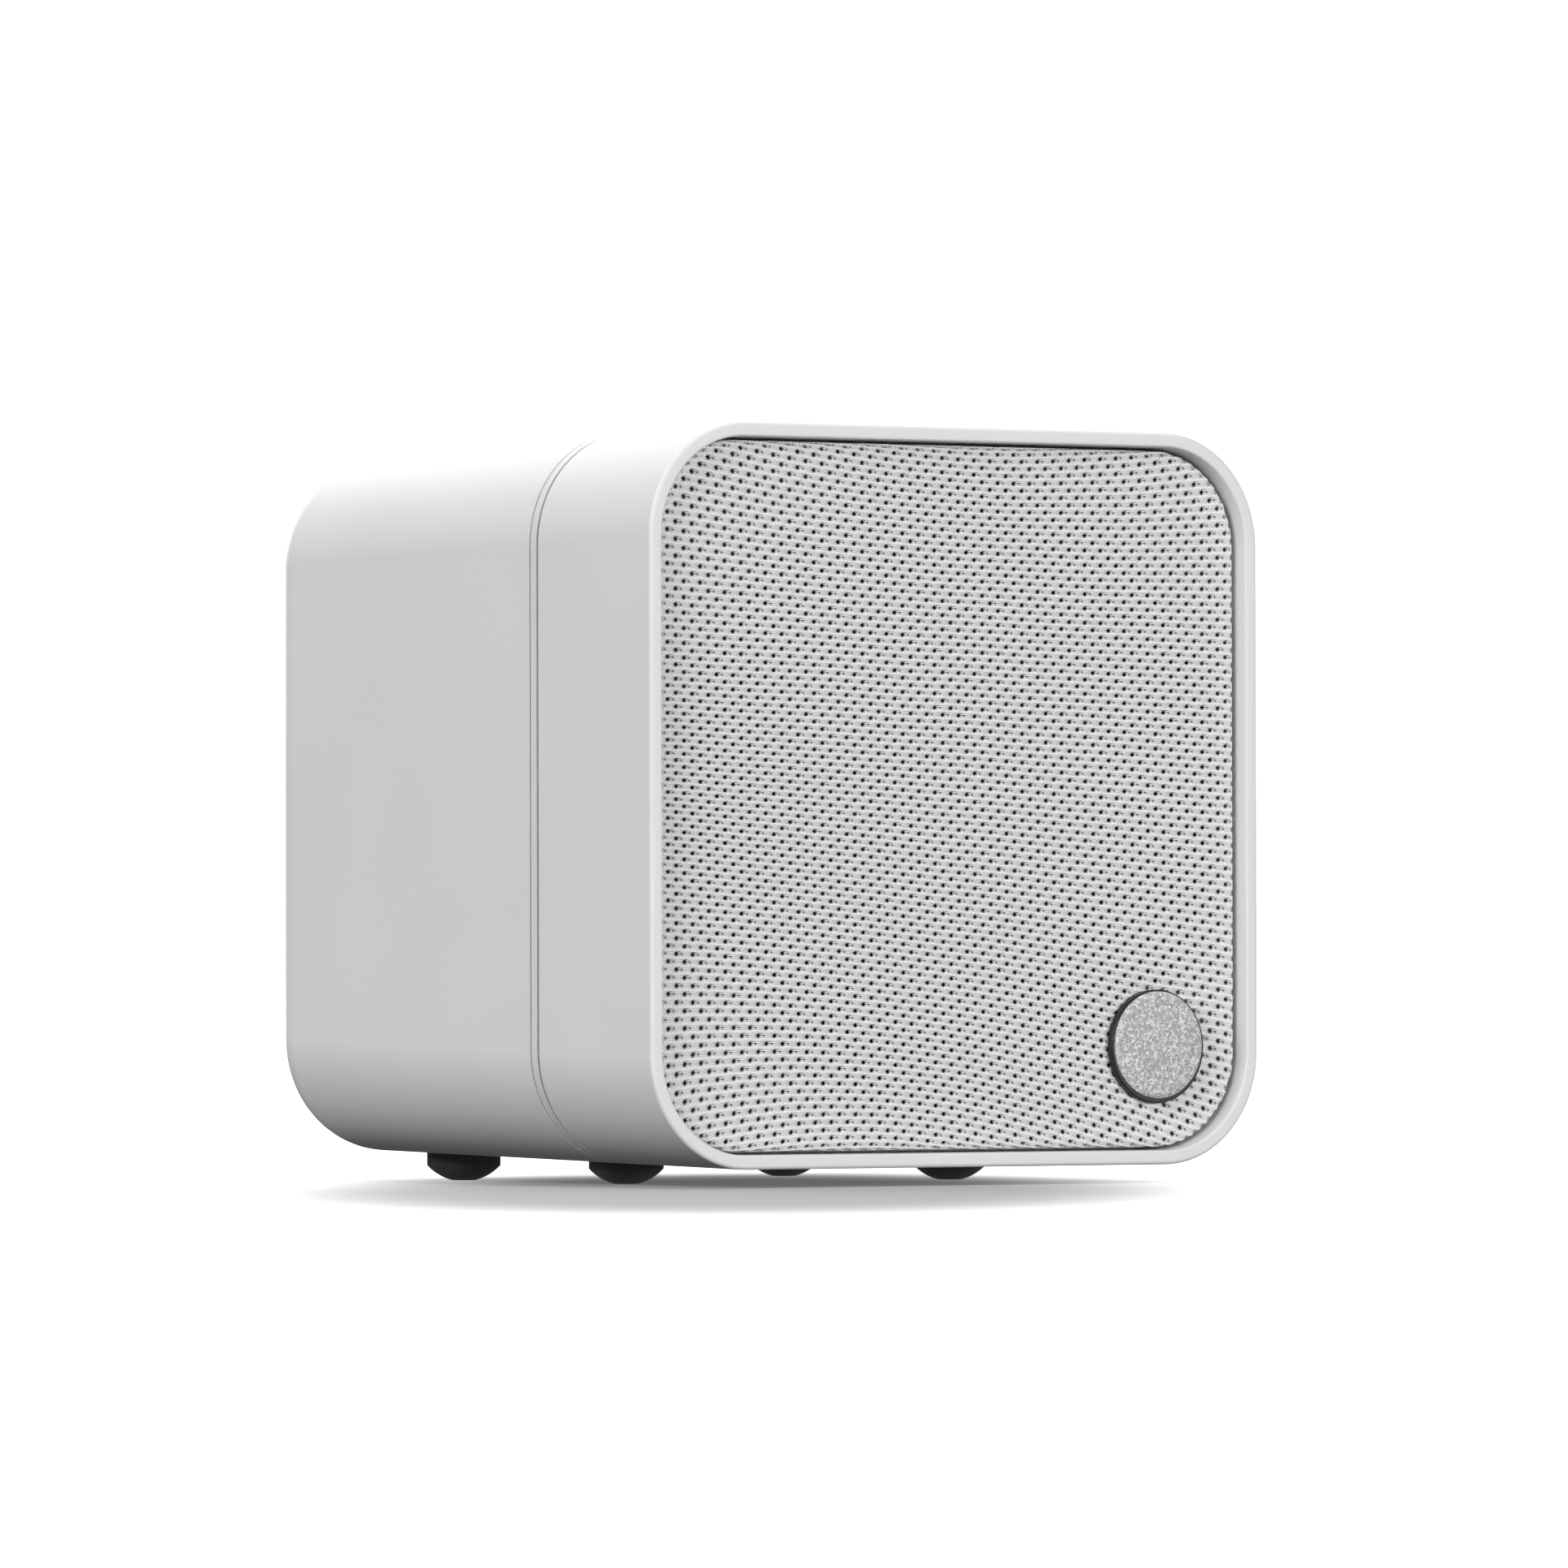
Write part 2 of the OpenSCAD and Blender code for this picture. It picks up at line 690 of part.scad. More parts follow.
module driver_tags() {
  color(steel) for (sx = [-1, 1])
    translate([sx * tag_x - tag_w / 2, y_at(ledge_d + ledge_t), mid_z + strip_z - tag_t / 2])
      cube([tag_w, tag_l, tag_t]);
}

module push_on_connectors() {
  start = connector_end - connector_l;
  tag_end = ledge_d + ledge_t + tag_l;
  color([0.85, 0.85, 0.8]) for (sx = [-1, 1]) difference() {
    translate([sx * tag_x - connector_w / 2, y_at(start), mid_z + strip_z - connector_t / 2])
      cube([connector_w, connector_l, connector_t]);
    translate([sx * tag_x - tag_w / 2, y_at(start) - over, mid_z + strip_z - tag_t / 2])
      cube([tag_w, tag_end - start + over, tag_t]);
  }
}

// a point between p[i] and p[i + 1] on the smooth curve through the list p
function on_curve(p, i, t) =
  let (a = p[max(i - 1, 0)], b = p[i], c = p[i + 1], e = p[min(i + 2, len(p) - 1)])
  b + t * (c - a) / 2 + t * t * (a - 2.5 * b + 2 * c - e / 2)
    + t * t * t * (1.5 * b - a / 2 - 1.5 * c + e / 2);

// a wire along its run, with its rings square to the depth
module wire(sx) {
  run = [for (q = wire_run) [sx * q[0], y_at(q[1]), mid_z + q[2]]];
  path = concat([for (i = [0:len(run) - 2], k = [0:wire_steps - 1]) on_curve(run, i, k / wire_steps)],
    [run[len(run) - 1]]);
  n = wire_sides;
  points = [for (q = path, k = [0:n - 1])
    q + wire_r * [cos(360 * k / n), 0, sin(360 * k / n)]];
  walls = [for (i = [0:len(path) - 2], k = [0:n - 1])
    [i * n + k, i * n + (k + 1) % n, (i + 1) * n + (k + 1) % n, (i + 1) * n + k]];
  start = [for (k = [n - 1:-1:0]) k];
  end = [for (k = [0:n - 1]) (len(path) - 1) * n + k];
  polyhedron(points = points, faces = concat(walls, [start, end]));
}

module wire_red() { color(cap_colours[0]) wire(-1); }
module wire_black() { color(cap_colours[1]) wire(1); }

module damping_wadding() {
  top = half_h - inset(wadding_end) - wall - 5;
  color([0.9, 0.9, 0.88]) between(wadding_start, wadding_end)
    translate([0, (top + wadding_low) / 2])
      rounded_square(wadding_w, top - wadding_low, wadding_r);
}

module terminal_dish() {
  color(black) difference() {
    union() {
      between(back_d - dish_flange_t, back_d) dish_flange();
      between(floor_d - dish_floor_t, back_d) dish_outline();
    }
    between(floor_d, back_d + over) dish_outline(dish_wall);
    post_places() rod(spigot_r, floor_d - dish_floor_t - over, floor_d + over);
    for (sx = [-1, 1])
      rod(dish_screw_r, back_d - dish_screw_l, back_d + over, sx * dish_screw_x, dish_z);
    for (sx = [-1, 1])
      rod(dish_screw_head, back_d - dish_screw_head_t, back_d + over, sx * dish_screw_x, dish_z);
  }
}

module post_places() {
  for (sx = [-1, 1]) post_at(sx) children();
}

module post_at(sx) {
  translate([sx * post_pitch / 2, 0, dish_z]) children();
}

module dish_screws() {
  color(steel) for (sx = [-1, 1]) union() {
    rod(dish_screw_head, back_d - dish_screw_head_t, back_d - 0.1, sx * dish_screw_x, dish_z);
    rod(dish_screw_r, back_d - dish_screw_l, back_d - 0.5, sx * dish_screw_x, dish_z);
  }
}

module collar() {
  turned([[post_r, floor_d - dish_floor_t], [spigot_r, floor_d - dish_floor_t], [spigot_r, floor_d],
    [collar_r, floor_d], [collar_r, floor_d + collar_t], [post_r, floor_d + collar_t]]);
}

module shaft() {
  difference() {
    rod(post_r, floor_d - shaft_in, shaft_end);
    rod(socket_r, shaft_end - socket_l, shaft_end + over);
    translate([0, y_at(wire_hole_d), mid_z]) cylinder(r = wire_hole_r, h = 4 * post_r, center = true);
  }
}

module clamp_washer() {
  d = floor_d + collar_t;
  turned([[post_r + washer_run, d], [washer_r, d], [washer_r, d + washer_t],
    [post_r + washer_run, d + washer_t]]);
}

module cap_bush() {
  turned([[post_r + bush_run, cap_d], [bush_r, cap_d], [bush_r, cap_d + bush_l],
    [post_r + bush_run, cap_d + bush_l]]);
}

// knurled cap over the brass bush, with a mouth for a plug
module cap() {
  round = 0.8;
  difference() {
    turned([[bush_r, cap_d], [cap_r, cap_d], [cap_r, cap_end - round], [cap_r - round, cap_end],
      [cap_mouth_r, cap_end], [cap_mouth_r, cap_end - cap_end_wall],
      [post_r + 0.4, cap_end - cap_end_wall], [post_r + 0.4, cap_d + bush_l],
      [bush_r, cap_d + bush_l]]);
    for (i = [0:knurl_count - 1]) {
      a = 360 * i / knurl_count;
      rod(knurl_r, cap_d + 2, cap_end - 2, cap_r * cos(a), cap_r * sin(a), $fn = 16);
    }
  }
}

module post_collar_red() { color(cap_colours[0]) post_at(-1) collar(); }
module post_collar_black() { color(cap_colours[1]) post_at(1) collar(); }
module post_shaft_red() { color(brass) post_at(-1) shaft(); }
module post_shaft_black() { color(brass) post_at(1) shaft(); }
module clamp_washer_red() { color(brass) post_at(-1) clamp_washer(); }
module clamp_washer_black() { color(brass) post_at(1) clamp_washer(); }
module cap_bush_red() { color(brass) post_at(-1) cap_bush(); }
module cap_bush_black() { color(brass) post_at(1) cap_bush(); }
module cap_red() { color(cap_colours[0]) post_at(-1) cap(); }
module cap_black() { color(cap_colours[1]) post_at(1) cap(); }

module post_nuts() {
  d = solder_d;
  color(brass) post_places() difference() {
    rod(nut_r, d - nut_t, d, $fn = 6);
    rod(post_r, d - nut_t - over, d + over);
  }
}

module solder_tags() {
  d = floor_d - dish_floor_t;
  color(steel) post_places() difference() {
    union() {
      rod(tag_ring_r, d - solder_t, d);
      translate([-solder_w / 2, y_at(d - solder_t), mid_z - solder_l]) cube([solder_w, solder_t, solder_l]);
    }
    rod(post_r, d - solder_t - over, d + over);
  }
}

module bracket_insert() {
  color(brass) difference() {
    rod(insert_r, back_d - insert_l, back_d, 0, insert_rise);
    rod(insert_hole_r, back_d - insert_l + 1, back_d + over, 0, insert_rise);
  }
}

module keyhole_plate() {
  color(steel) difference() {
    between(back_d - plate_keyhole_t, back_d) plate_outline();
    between(back_d - plate_keyhole_t - over, back_d + over) keyhole_outline();
    for (sx = [-1, 1])
      rod(plate_screw_r, back_d - plate_screw_l, back_d + over, sx * plate_screw_x, keyhole_rise);
    for (sx = [-1, 1])
      rod(plate_screw_head, back_d - 0.7, back_d + over, sx * plate_screw_x, keyhole_rise);
  }
}

module keyhole_screws() {
  color(black) for (sx = [-1, 1]) union() {
    rod(plate_screw_head, back_d - 0.7, back_d - 0.05, sx * plate_screw_x, keyhole_rise);
    rod(plate_screw_r, back_d - plate_screw_l, back_d - 0.3, sx * plate_screw_x, keyhole_rise);
  }
}

front_shell();
seam_band();
rear_shell();
shell_gasket();
shell_screws();
foot_front_left();
foot_front_right();
foot_rear_left();
foot_rear_right();
grille_frame();
grille_cloth();
badge_disc();
badge_holder();
peg_cups();
driver_basket();
driver_gasket();
driver_screws();
surround();
diaphragm();
coil_former();
voice_coil();
spider();
tinsel_leads();
pole_plate();
magnet();
yoke_cup();
terminal_strip();
driver_tags();
push_on_connectors();
wire_red();
wire_black();
damping_wadding();
terminal_dish();
dish_screws();
post_collar_red();
post_collar_black();
post_shaft_red();
post_shaft_black();
clamp_washer_red();
clamp_washer_black();
cap_bush_red();
cap_bush_black();
cap_red();
cap_black();
post_nuts();
solder_tags();
bracket_insert();
keyhole_plate();
keyhole_screws();
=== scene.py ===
# %% [markdown]
# # A small cube loudspeaker, dressed around its engineering model
# The engineering model says where every piece is and how it moves. This lesson
# builds the pieces that the eye meets and gives every piece a finish of its own.

# %% Load the engineering model
import json
import math

import bmesh
import bpy
from mathutils import Matrix, Vector, noise

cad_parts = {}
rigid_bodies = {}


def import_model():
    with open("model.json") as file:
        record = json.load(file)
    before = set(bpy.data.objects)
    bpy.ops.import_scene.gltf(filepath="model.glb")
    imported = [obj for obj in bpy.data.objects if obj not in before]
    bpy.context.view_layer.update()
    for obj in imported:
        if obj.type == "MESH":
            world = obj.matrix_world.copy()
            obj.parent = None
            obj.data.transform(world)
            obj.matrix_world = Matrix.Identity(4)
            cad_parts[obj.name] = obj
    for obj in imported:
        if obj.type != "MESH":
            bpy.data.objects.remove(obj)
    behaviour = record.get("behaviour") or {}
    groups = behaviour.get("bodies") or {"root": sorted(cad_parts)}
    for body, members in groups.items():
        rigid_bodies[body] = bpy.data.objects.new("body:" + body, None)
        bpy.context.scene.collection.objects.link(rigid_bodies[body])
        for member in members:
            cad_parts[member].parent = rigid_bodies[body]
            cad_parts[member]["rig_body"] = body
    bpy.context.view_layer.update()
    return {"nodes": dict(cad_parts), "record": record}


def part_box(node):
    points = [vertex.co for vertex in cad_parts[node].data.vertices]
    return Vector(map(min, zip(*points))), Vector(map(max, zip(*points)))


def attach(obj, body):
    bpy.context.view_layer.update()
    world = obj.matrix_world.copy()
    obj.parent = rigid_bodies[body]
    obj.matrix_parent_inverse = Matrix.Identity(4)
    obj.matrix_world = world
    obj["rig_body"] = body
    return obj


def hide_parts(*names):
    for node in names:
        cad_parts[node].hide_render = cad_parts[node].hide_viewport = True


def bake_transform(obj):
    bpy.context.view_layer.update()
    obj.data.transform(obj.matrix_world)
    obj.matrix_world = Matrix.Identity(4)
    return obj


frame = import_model()
nodes = frame["nodes"]

# %% [markdown]
# ## A bench in millimetres
# Every piece is modelled on a bench where x runs to the right, y is the depth behind
# the front rim and z is the height above the cabinet's middle, all in millimetres. Its
# last step moves it to its place in the frame, in metres. The object stays at the
# origin, so a pattern on its object coordinates can't slide.

# %% The bench
MM = 0.001
rim_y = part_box("front_shell")[0].y
front_low, front_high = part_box("front_shell")
mid_z = (front_low.z + front_high.z) / 2
half = (front_high.x - front_low.x) / 2 / MM
back_d = (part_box("rear_shell")[1].y - rim_y) / MM
floor_z = -mid_z / MM
print(f"cabinet {2 * half:.1f} wide, {back_d:.1f} deep, {-floor_z - half:.2f} off the floor")


def span(node):
    """A node's lowest and highest corner on the bench."""
    return [(corner - Vector((0, rim_y, mid_z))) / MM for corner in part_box(node)]


slot_of = {part["node"]: part["material_slot"] for part in frame["record"]["subparts"]}

# %% [markdown]
# ## From the bench to the frame
# A new piece stands for a node of the engineering model, so its body and its finish's
# slot are looked up there. Doubles are merged before the normals are turned outwards,
# and edges sharper than an angle stay crisp.

# %% Finish a piece
finishes = {}


def placed(bm, name, node, sharp, body=None, tidy=True):
    """Moves a piece from the bench to its place and, unless a body is given, hands it to its
    node's body.
    """
    if tidy:
        bmesh.ops.remove_doubles(bm, verts=bm.verts, dist=0.0005)
        bmesh.ops.recalc_face_normals(bm, faces=bm.faces)
    bmesh.ops.scale(bm, vec=(MM, MM, MM), verts=bm.verts)
    bmesh.ops.translate(bm, vec=(0, rim_y, mid_z), verts=bm.verts)
    mesh = bpy.data.meshes.new(name)
    bm.to_mesh(mesh)
    bm.free()
    mesh.shade_smooth()
    mesh.set_sharp_from_angle(angle=math.radians(sharp))
    piece = bpy.data.objects.new(name, mesh)
    bpy.context.scene.collection.objects.link(piece)
    mesh.materials.append(finishes[slot_of[node]])
    if body is None:
        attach(piece, nodes[node]["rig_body"])
    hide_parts(node)
    print(f"{name}: {len(mesh.polygons)} faces for {node}")
    return piece


# %% [markdown]
# ## Shader maths in plain sums
# A pattern is easier to read as a sum than as a web of nodes. One small class wraps
# a socket, and Python's own signs then add the Math nodes. Colours go through Mix
# nodes, because a Math node turns a colour grey.

# %% A socket that can be used in sums
class Strand:
    """One output of a node, for use in sums."""

    def __init__(self, finish, socket):
        self.finish = finish
        self.socket = socket

    def maths(self, operation, *values):
        inputs = dict(enumerate(values))
        return self.finish.node("ShaderNodeMath", {"operation": operation}, inputs)

    def step(self, low, high):
        """0 below low and 1 above high, with a smooth rise between them."""
        settings = {"interpolation_type": "SMOOTHSTEP"}
        return self.finish.node("ShaderNodeMapRange", settings, {0: self, 1: low, 2: high})


SIGNS = {"add": "ADD", "sub": "SUBTRACT", "mul": "MULTIPLY", "truediv": "DIVIDE", "pow": "POWER"}
for sign, operation in SIGNS.items():
    setattr(Strand, f"__{sign}__", lambda a, b, how=operation: a.maths(how, a, b))
    setattr(Strand, f"__r{sign}__", lambda a, b, how=operation: a.maths(how, b, a))
WORDS = {"wave": "SINE", "size": "ABSOLUTE", "part": "FRACT", "whole": "FLOOR"}
for word, operation in WORDS.items():
    setattr(Strand, word, lambda a, how=operation: a.maths(how, a))


# %% A finish and its nodes
class Finish:
    """A material whose shader takes constants straight away, and patterns later."""

    def __init__(self, name, colour, roughness, **constants):
        self.material = bpy.data.materials.new(name)
        self.material.use_nodes = True
        self.tree = self.material.node_tree
        self.shader = self.tree.nodes["Principled BSDF"]
        self.set({"Base Color": (*colour, 1), "Roughness": roughness})
        self.set({key.replace("_", " "): value for key, value in constants.items()})
        finishes[name] = self.material

    def set(self, values):
        self.plug(self.shader, values)

    def plug(self, node, values):
        for key, value in values.items():
            if isinstance(value, Strand):
                self.tree.links.new(value.socket, node.inputs[key])
            else:
                node.inputs[key].default_value = value

    def node(self, kind, settings, values, out=0):
        """Adds a node: its settings first, then the values or links of its sockets."""
        made = self.tree.nodes.new(kind)
        for key, value in settings.items():
            setattr(made, key, value)
        self.plug(made, values)
        return Strand(self, made.outputs[out])

    def bench(self, stretch=(1, 1, 1)):
        """Object coordinates in millimetres, stretched along the axes."""
        where = self.node("ShaderNodeTexCoord", {}, {}, "Object")
        scale = tuple(x / MM for x in stretch)
        return self.node("ShaderNodeMapping", {}, {"Vector": where, "Scale": scale})

    def axes(self, vector):
        split = self.node("ShaderNodeSeparateXYZ", {}, {0: vector})
        outputs = split.socket.node.outputs
        return [Strand(self, outputs[k]) for k in range(3)]

    def speckle(self, where, scale, detail=2.0, rough=0.5):
        values = {"Vector": where, "Scale": scale, "Detail": detail, "Roughness": rough}
        return self.node("ShaderNodeTexNoise", {}, values)

    def tint(self, factor, low, high):
        """A colour between low and high."""
        values = {0: factor, 6: (*low, 1), 7: (*high, 1)}
        return self.node("ShaderNodeMix", {"data_type": "RGBA"}, values, 2)

    def colours(self, factor, low, high):
        self.set({"Base Color": self.tint(factor, low, high)})

    def relief(self, height, depth, strength=1.0):
        """Raises the surface by height times depth, in millimetres."""
        values = {"Height": height, "Distance": depth * MM, "Strength": strength}
        self.set({"Normal": self.node("ShaderNodeBump", {}, values)})


# %% [markdown]
# ## The viewpoint
# The object is seen from a little below its middle and from its left, through a long
# lens, so its upright edges stay nearly parallel.

# %% Camera
look = math.radians(34.171)
ahead = Vector((math.sin(look), math.cos(look), 0))
across = Vector((math.cos(look), -math.sin(look), 0))
target = Vector((0, rim_y + 39 * MM, mid_z))
stand_off, step_aside, step_down = 1.3565, 0.003456, 0.01841
tilt, side_roll = math.radians(90.858), math.radians(-0.137)
lens = bpy.data.cameras.new("viewpoint")
lens.lens = 288.54
lens.clip_start = 0.05
lens.clip_end = 60
camera = bpy.data.objects.new("viewpoint", lens)
camera.location = target - ahead * stand_off + across * step_aside - Vector((0, 0, step_down))
turn = Matrix.Rotation(-look, 3, "Z") @ Matrix.Rotation(tilt, 3, "X")
camera.rotation_euler = (turn @ Matrix.Rotation(side_roll, 3, "Z")).to_euler()
bpy.context.scene.collection.objects.link(camera)
bpy.context.scene.camera = camera
print("camera at", [round(x, 3) for x in camera.location])

# %% [markdown]
# ## Studio
# One broad soft light hangs above, and one each lights the grille, the back and the
# side. The camera sees a bright backdrop, but the air gives almost no light, and
# neither does the floor, so the cabinet's rounded underside falls off to a deep grey.
# The floor glows like the backdrop except in a grey pool round the object, a painted
# shadow stretched towards the camera, where its real shadow falls too.

# %% Floor and lights
scene = bpy.context.scene
scene.view_settings.view_transform = "Standard"


def softbox(name, place, aim, size, power):
    light = bpy.data.lights.new(name, "AREA")
    light.shape = "RECTANGLE"
    light.size, light.size_y = size
    light.energy = power
    lamp = bpy.data.objects.new(name, light)
    lamp.location = place
    lamp.rotation_euler = (Vector(place) - Vector(aim)).to_track_quat("Z", "Y").to_euler()
    scene.collection.objects.link(lamp)


middle = (0, 0, 0.04)
softbox("top_softbox", (0.1, 0.5, 1.4), middle, (1.7, 1.5), 18)
softbox("front_softbox", (0.5, -2.2, 0.3), middle, (1.5, 0.7), 38)
softbox("rear_softbox", (0.8, 2.1, 0.6), middle, (1.4, 0.9), 24)
softbox("side_softbox", (-2.2, -0.5, 0.95), middle, (1.3, 0.9), 43)

world = bpy.data.worlds.new("studio_air")
scene.world = world
world.use_nodes = True
air = world.node_tree
sky = air.nodes["Background"]
sky.inputs["Color"].default_value = (1, 1, 1, 1)
sky.inputs["Strength"].default_value = 0.08
backdrop = air.nodes.new("ShaderNodeBackground")
backdrop.inputs["Strength"].default_value = 1.6
seen = air.nodes.new("ShaderNodeLightPath")
choice = air.nodes.new("ShaderNodeMixShader")
for k, source in enumerate((seen.outputs["Is Camera Ray"], sky.outputs[0], backdrop.outputs[0])):
    air.links.new(source, choice.inputs[k])
air.links.new(choice.outputs[0], air.nodes["World Output"].inputs[0])

paint = Finish("floor_paint", (0.42, 0.42, 0.42), 0.9, Specular_IOR_Level=0.0)
x, y, _ = paint.axes(paint.bench())
# Painted shadow: the floor's glow fades out in an ellipse round the object, longest towards the
# camera.
shadow_pool_w, shadow_pool_l, shadow_pool_nearer = 56.0, 150.0, 70.0
beside = (x * math.cos(look) - y * math.sin(look)) / shadow_pool_w
before = (x * math.sin(look) + y * math.cos(look) + shadow_pool_nearer) / shadow_pool_l
far = (beside * beside + before * before).step(0.2, 1.25)
glow = paint.tint(far, (0.08, 0.08, 0.08), (1, 1, 1))
paint.set({"Emission Color": glow, "Emission Strength": 1.3})
bm = bmesh.new()
bmesh.ops.create_grid(bm, x_segments=2, y_segments=2, size=12)
floor_mesh = bpy.data.meshes.new("studio_floor")
bm.to_mesh(floor_mesh)
bm.free()
floor = bpy.data.objects.new("studio_floor", floor_mesh)
floor.visible_diffuse = False
floor.visible_glossy = False
floor_mesh.materials.append(paint.material)
scene.collection.objects.link(floor)
print("studio ready")

# %% [markdown]
# ## White mouldings
# The cabinet is injection-moulded in white with a fine satin texture. Up close it is a
# field of tiny low bumps, with patches that are a touch smoother. Noise at two sizes
# gives both, faintly.

# %% Satin white
def satin_white(name, colour, roughness, grain):
    """Moulded white plastic with an eroded texture of the given depth."""
    finish = Finish(name, colour, roughness, Specular_IOR_Level=0.42)
    where = finish.bench()
    fine = finish.speckle(where, 3.2, 3.0)
    cloud = finish.speckle(where, 0.05, 1.0)
    finish.set({"Roughness": fine * 0.1 + cloud * 0.08 + (roughness - 0.09)})
    low = tuple(channel * 0.985 for channel in colour)
    finish.colours(cloud.step(0.35, 0.65), low, colour)
    finish.relief(fine, grain)


satin_white("white_shell", (0.80, 0.80, 0.80), 0.42, 0.012)
satin_white("white_band", (0.78, 0.78, 0.78), 0.36, 0.006)

# %% [markdown]
# ## Rubber
# The feet are turned pads of nearly black rubber, matt and a little dusty in the
# hollows. The gasket and the peg cups are softer, so they take other numbers.


# %% Rubber finishes
def rubber(name, colour, roughness, grain, scale=1.6):
    """Matt rubber, a little paler where dust settles."""
    finish = Finish(name, colour, roughness, Specular_IOR_Level=0.4)
    where = finish.bench()
    grit = finish.speckle(where, scale, 4.0, 0.6)
    dust = finish.speckle(where, 0.25, 2.0).step(0.45, 0.8)
    pale = tuple(channel * 1.5 + 0.006 for channel in colour)
    finish.colours(dust, colour, pale)
    finish.set({"Roughness": grit * 0.16 + (roughness - 0.08)})
    finish.relief(grit, grain)


rubber("foot_rubber", (0.075, 0.075, 0.076), 0.36, 0.01)
rubber("soft_rubber", (0.02, 0.02, 0.021), 0.62, 0.03, 2.4)

# %% [markdown]
# ## Black and coloured plastics
# The grille's frame, the terminal dish and the terminals' caps have a coarser texture.
# Handling polishes the high spots, so the roughness follows the grain.


# %% Moulded plastics
def moulded(name, colour, roughness, grain, scale=2.2):
    """Textured moulding whose high spots are polished by handling."""
    finish = Finish(name, colour, roughness, Specular_IOR_Level=0.45)
    where = finish.bench()
    grain_field = finish.speckle(where, scale, 2.0)
    flow = finish.speckle(finish.bench((0.1, 0.02, 0.1)), 1.0, 2.0)
    paler = tuple(channel * 1.25 + 0.004 for channel in colour)
    finish.colours(flow.step(0.4, 0.75), colour, paler)
    finish.set({"Roughness": (1 - grain_field) * 0.22 + (roughness - 0.11)})
    finish.relief(grain_field, grain)


moulded("black_moulding", (0.01, 0.01, 0.011), 0.46, 0.02)
moulded("red_moulding", (0.46, 0.012, 0.012), 0.3, 0.008, 1.2)
moulded("cap_black", (0.016, 0.016, 0.018), 0.3, 0.008, 1.2)
moulded("wire_red", (0.5, 0.02, 0.015), 0.38, 0.01, 0.8)
moulded("wire_black", (0.02, 0.02, 0.02), 0.4, 0.01, 0.8)
moulded("former_film", (0.42, 0.24, 0.06), 0.34, 0.004, 1.0)

# %% [markdown]
# ## Blasted badge
# The badge is aluminium blasted with glass beads. Every bead leaves a dimple that
# throws light its own way, so the face sparkles in pale and dark grains. A cell pattern
# gives the dimples, and noise paints the sparkle into the colour as pale and dark grains
# of painted highlight and shade.

# %% Badge metal
badge_metal = Finish("badge_metal", (0.7, 0.7, 0.7), 0.42, Metallic=0.2)
where = badge_metal.bench()
dimples = badge_metal.node("ShaderNodeTexVoronoi", {}, {"Vector": where, "Scale": 4.5})
# Painted sparkle: pale and dark grains of painted highlight and shade in the colour; the same
# noise drives roughness and bump.
painted_sparkle_and_grain = badge_metal.speckle(where, 3.0, 3.0, 0.8).step(0.38, 0.62)
badge_metal.colours(painted_sparkle_and_grain, (0.43, 0.43, 0.44), (1.0, 1.0, 1.0))
badge_metal.set({"Roughness": painted_sparkle_and_grain * 0.2 + 0.34})
badge_metal.relief(dimples + painted_sparkle_and_grain * 0.8, 0.08)

# %% [markdown]
# ## Metals
# Screws, terminals, magnet and leads are plated, drawn or turned. A plated part is
# cloudy where the bath ran unevenly, and stretched noise makes the drawn look.


# %% Metal finishes
def metal(name, colour, roughness, stretch=(1, 1, 1), scale=1.5, grain=0.004):
    """Bare or plated metal with drawn or clouded marks."""
    finish = Finish(name, colour, roughness, Metallic=1.0)
    marks = finish.speckle(finish.bench(stretch), scale, 3.0, 0.6)
    cloud = finish.speckle(finish.bench(), 0.35, 2.0)
    dull = tuple(channel * 0.82 for channel in colour)
    finish.colours(cloud.step(0.35, 0.7), dull, colour)
    finish.set({"Roughness": marks * 0.24 + (roughness - 0.12)})
    finish.relief(marks, grain)


metal("plated_steel", (0.56, 0.57, 0.58), 0.34, (1, 6, 1))
metal("black_screws", (0.045, 0.045, 0.05), 0.4, (1, 1, 1), 2.5, 0.008)
metal("copper", (0.72, 0.3, 0.14), 0.36, (0.2, 8, 0.2))
metal("magnet_nickel", (0.6, 0.58, 0.54), 0.3, (1, 1, 1), 0.6)
metal("tinned", (0.62, 0.62, 0.6), 0.38, (1, 1, 5))
metal("gold_brass", (0.86, 0.62, 0.26), 0.26, (0.2, 7, 0.2))
metal("insert_brass", (0.62, 0.46, 0.2), 0.38, (0.3, 9, 0.3))

# %% [markdown]
# ## Inside the cabinet
# The basket's black paint has a slight orange-peel. The diaphragm is a flat stiff
# skin, the spider is a resin-soaked cloth and the strip is laminated board.

# %% Driver finishes
paint_coat = Finish("basket_paint", (0.018, 0.018, 0.019), 0.36, Coat_Weight=0.25)
peel = paint_coat.speckle(paint_coat.bench(), 0.9, 2.0)
paint_coat.set({"Roughness": peel * 0.2 + 0.28})
paint_coat.colours(peel, (0.012, 0.012, 0.013), (0.03, 0.03, 0.031))
paint_coat.relief(peel, 0.03)

skin = Finish("diaphragm_skin", (0.045, 0.045, 0.047), 0.5)
pressed = skin.node("ShaderNodeTexVoronoi", {"feature": "DISTANCE_TO_EDGE"},
                    {"Vector": skin.bench(), "Scale": 0.42})
fibres = skin.speckle(skin.bench((1, 1, 5)), 0.9, 4.0, 0.65)
skin.colours(fibres.step(0.3, 0.75), (0.03, 0.03, 0.032), (0.075, 0.075, 0.078))
skin.set({"Roughness": fibres * 0.25 + 0.4})
skin.relief(pressed.step(0.0, 0.12) * 0.4 + fibres * 0.6, 0.014)

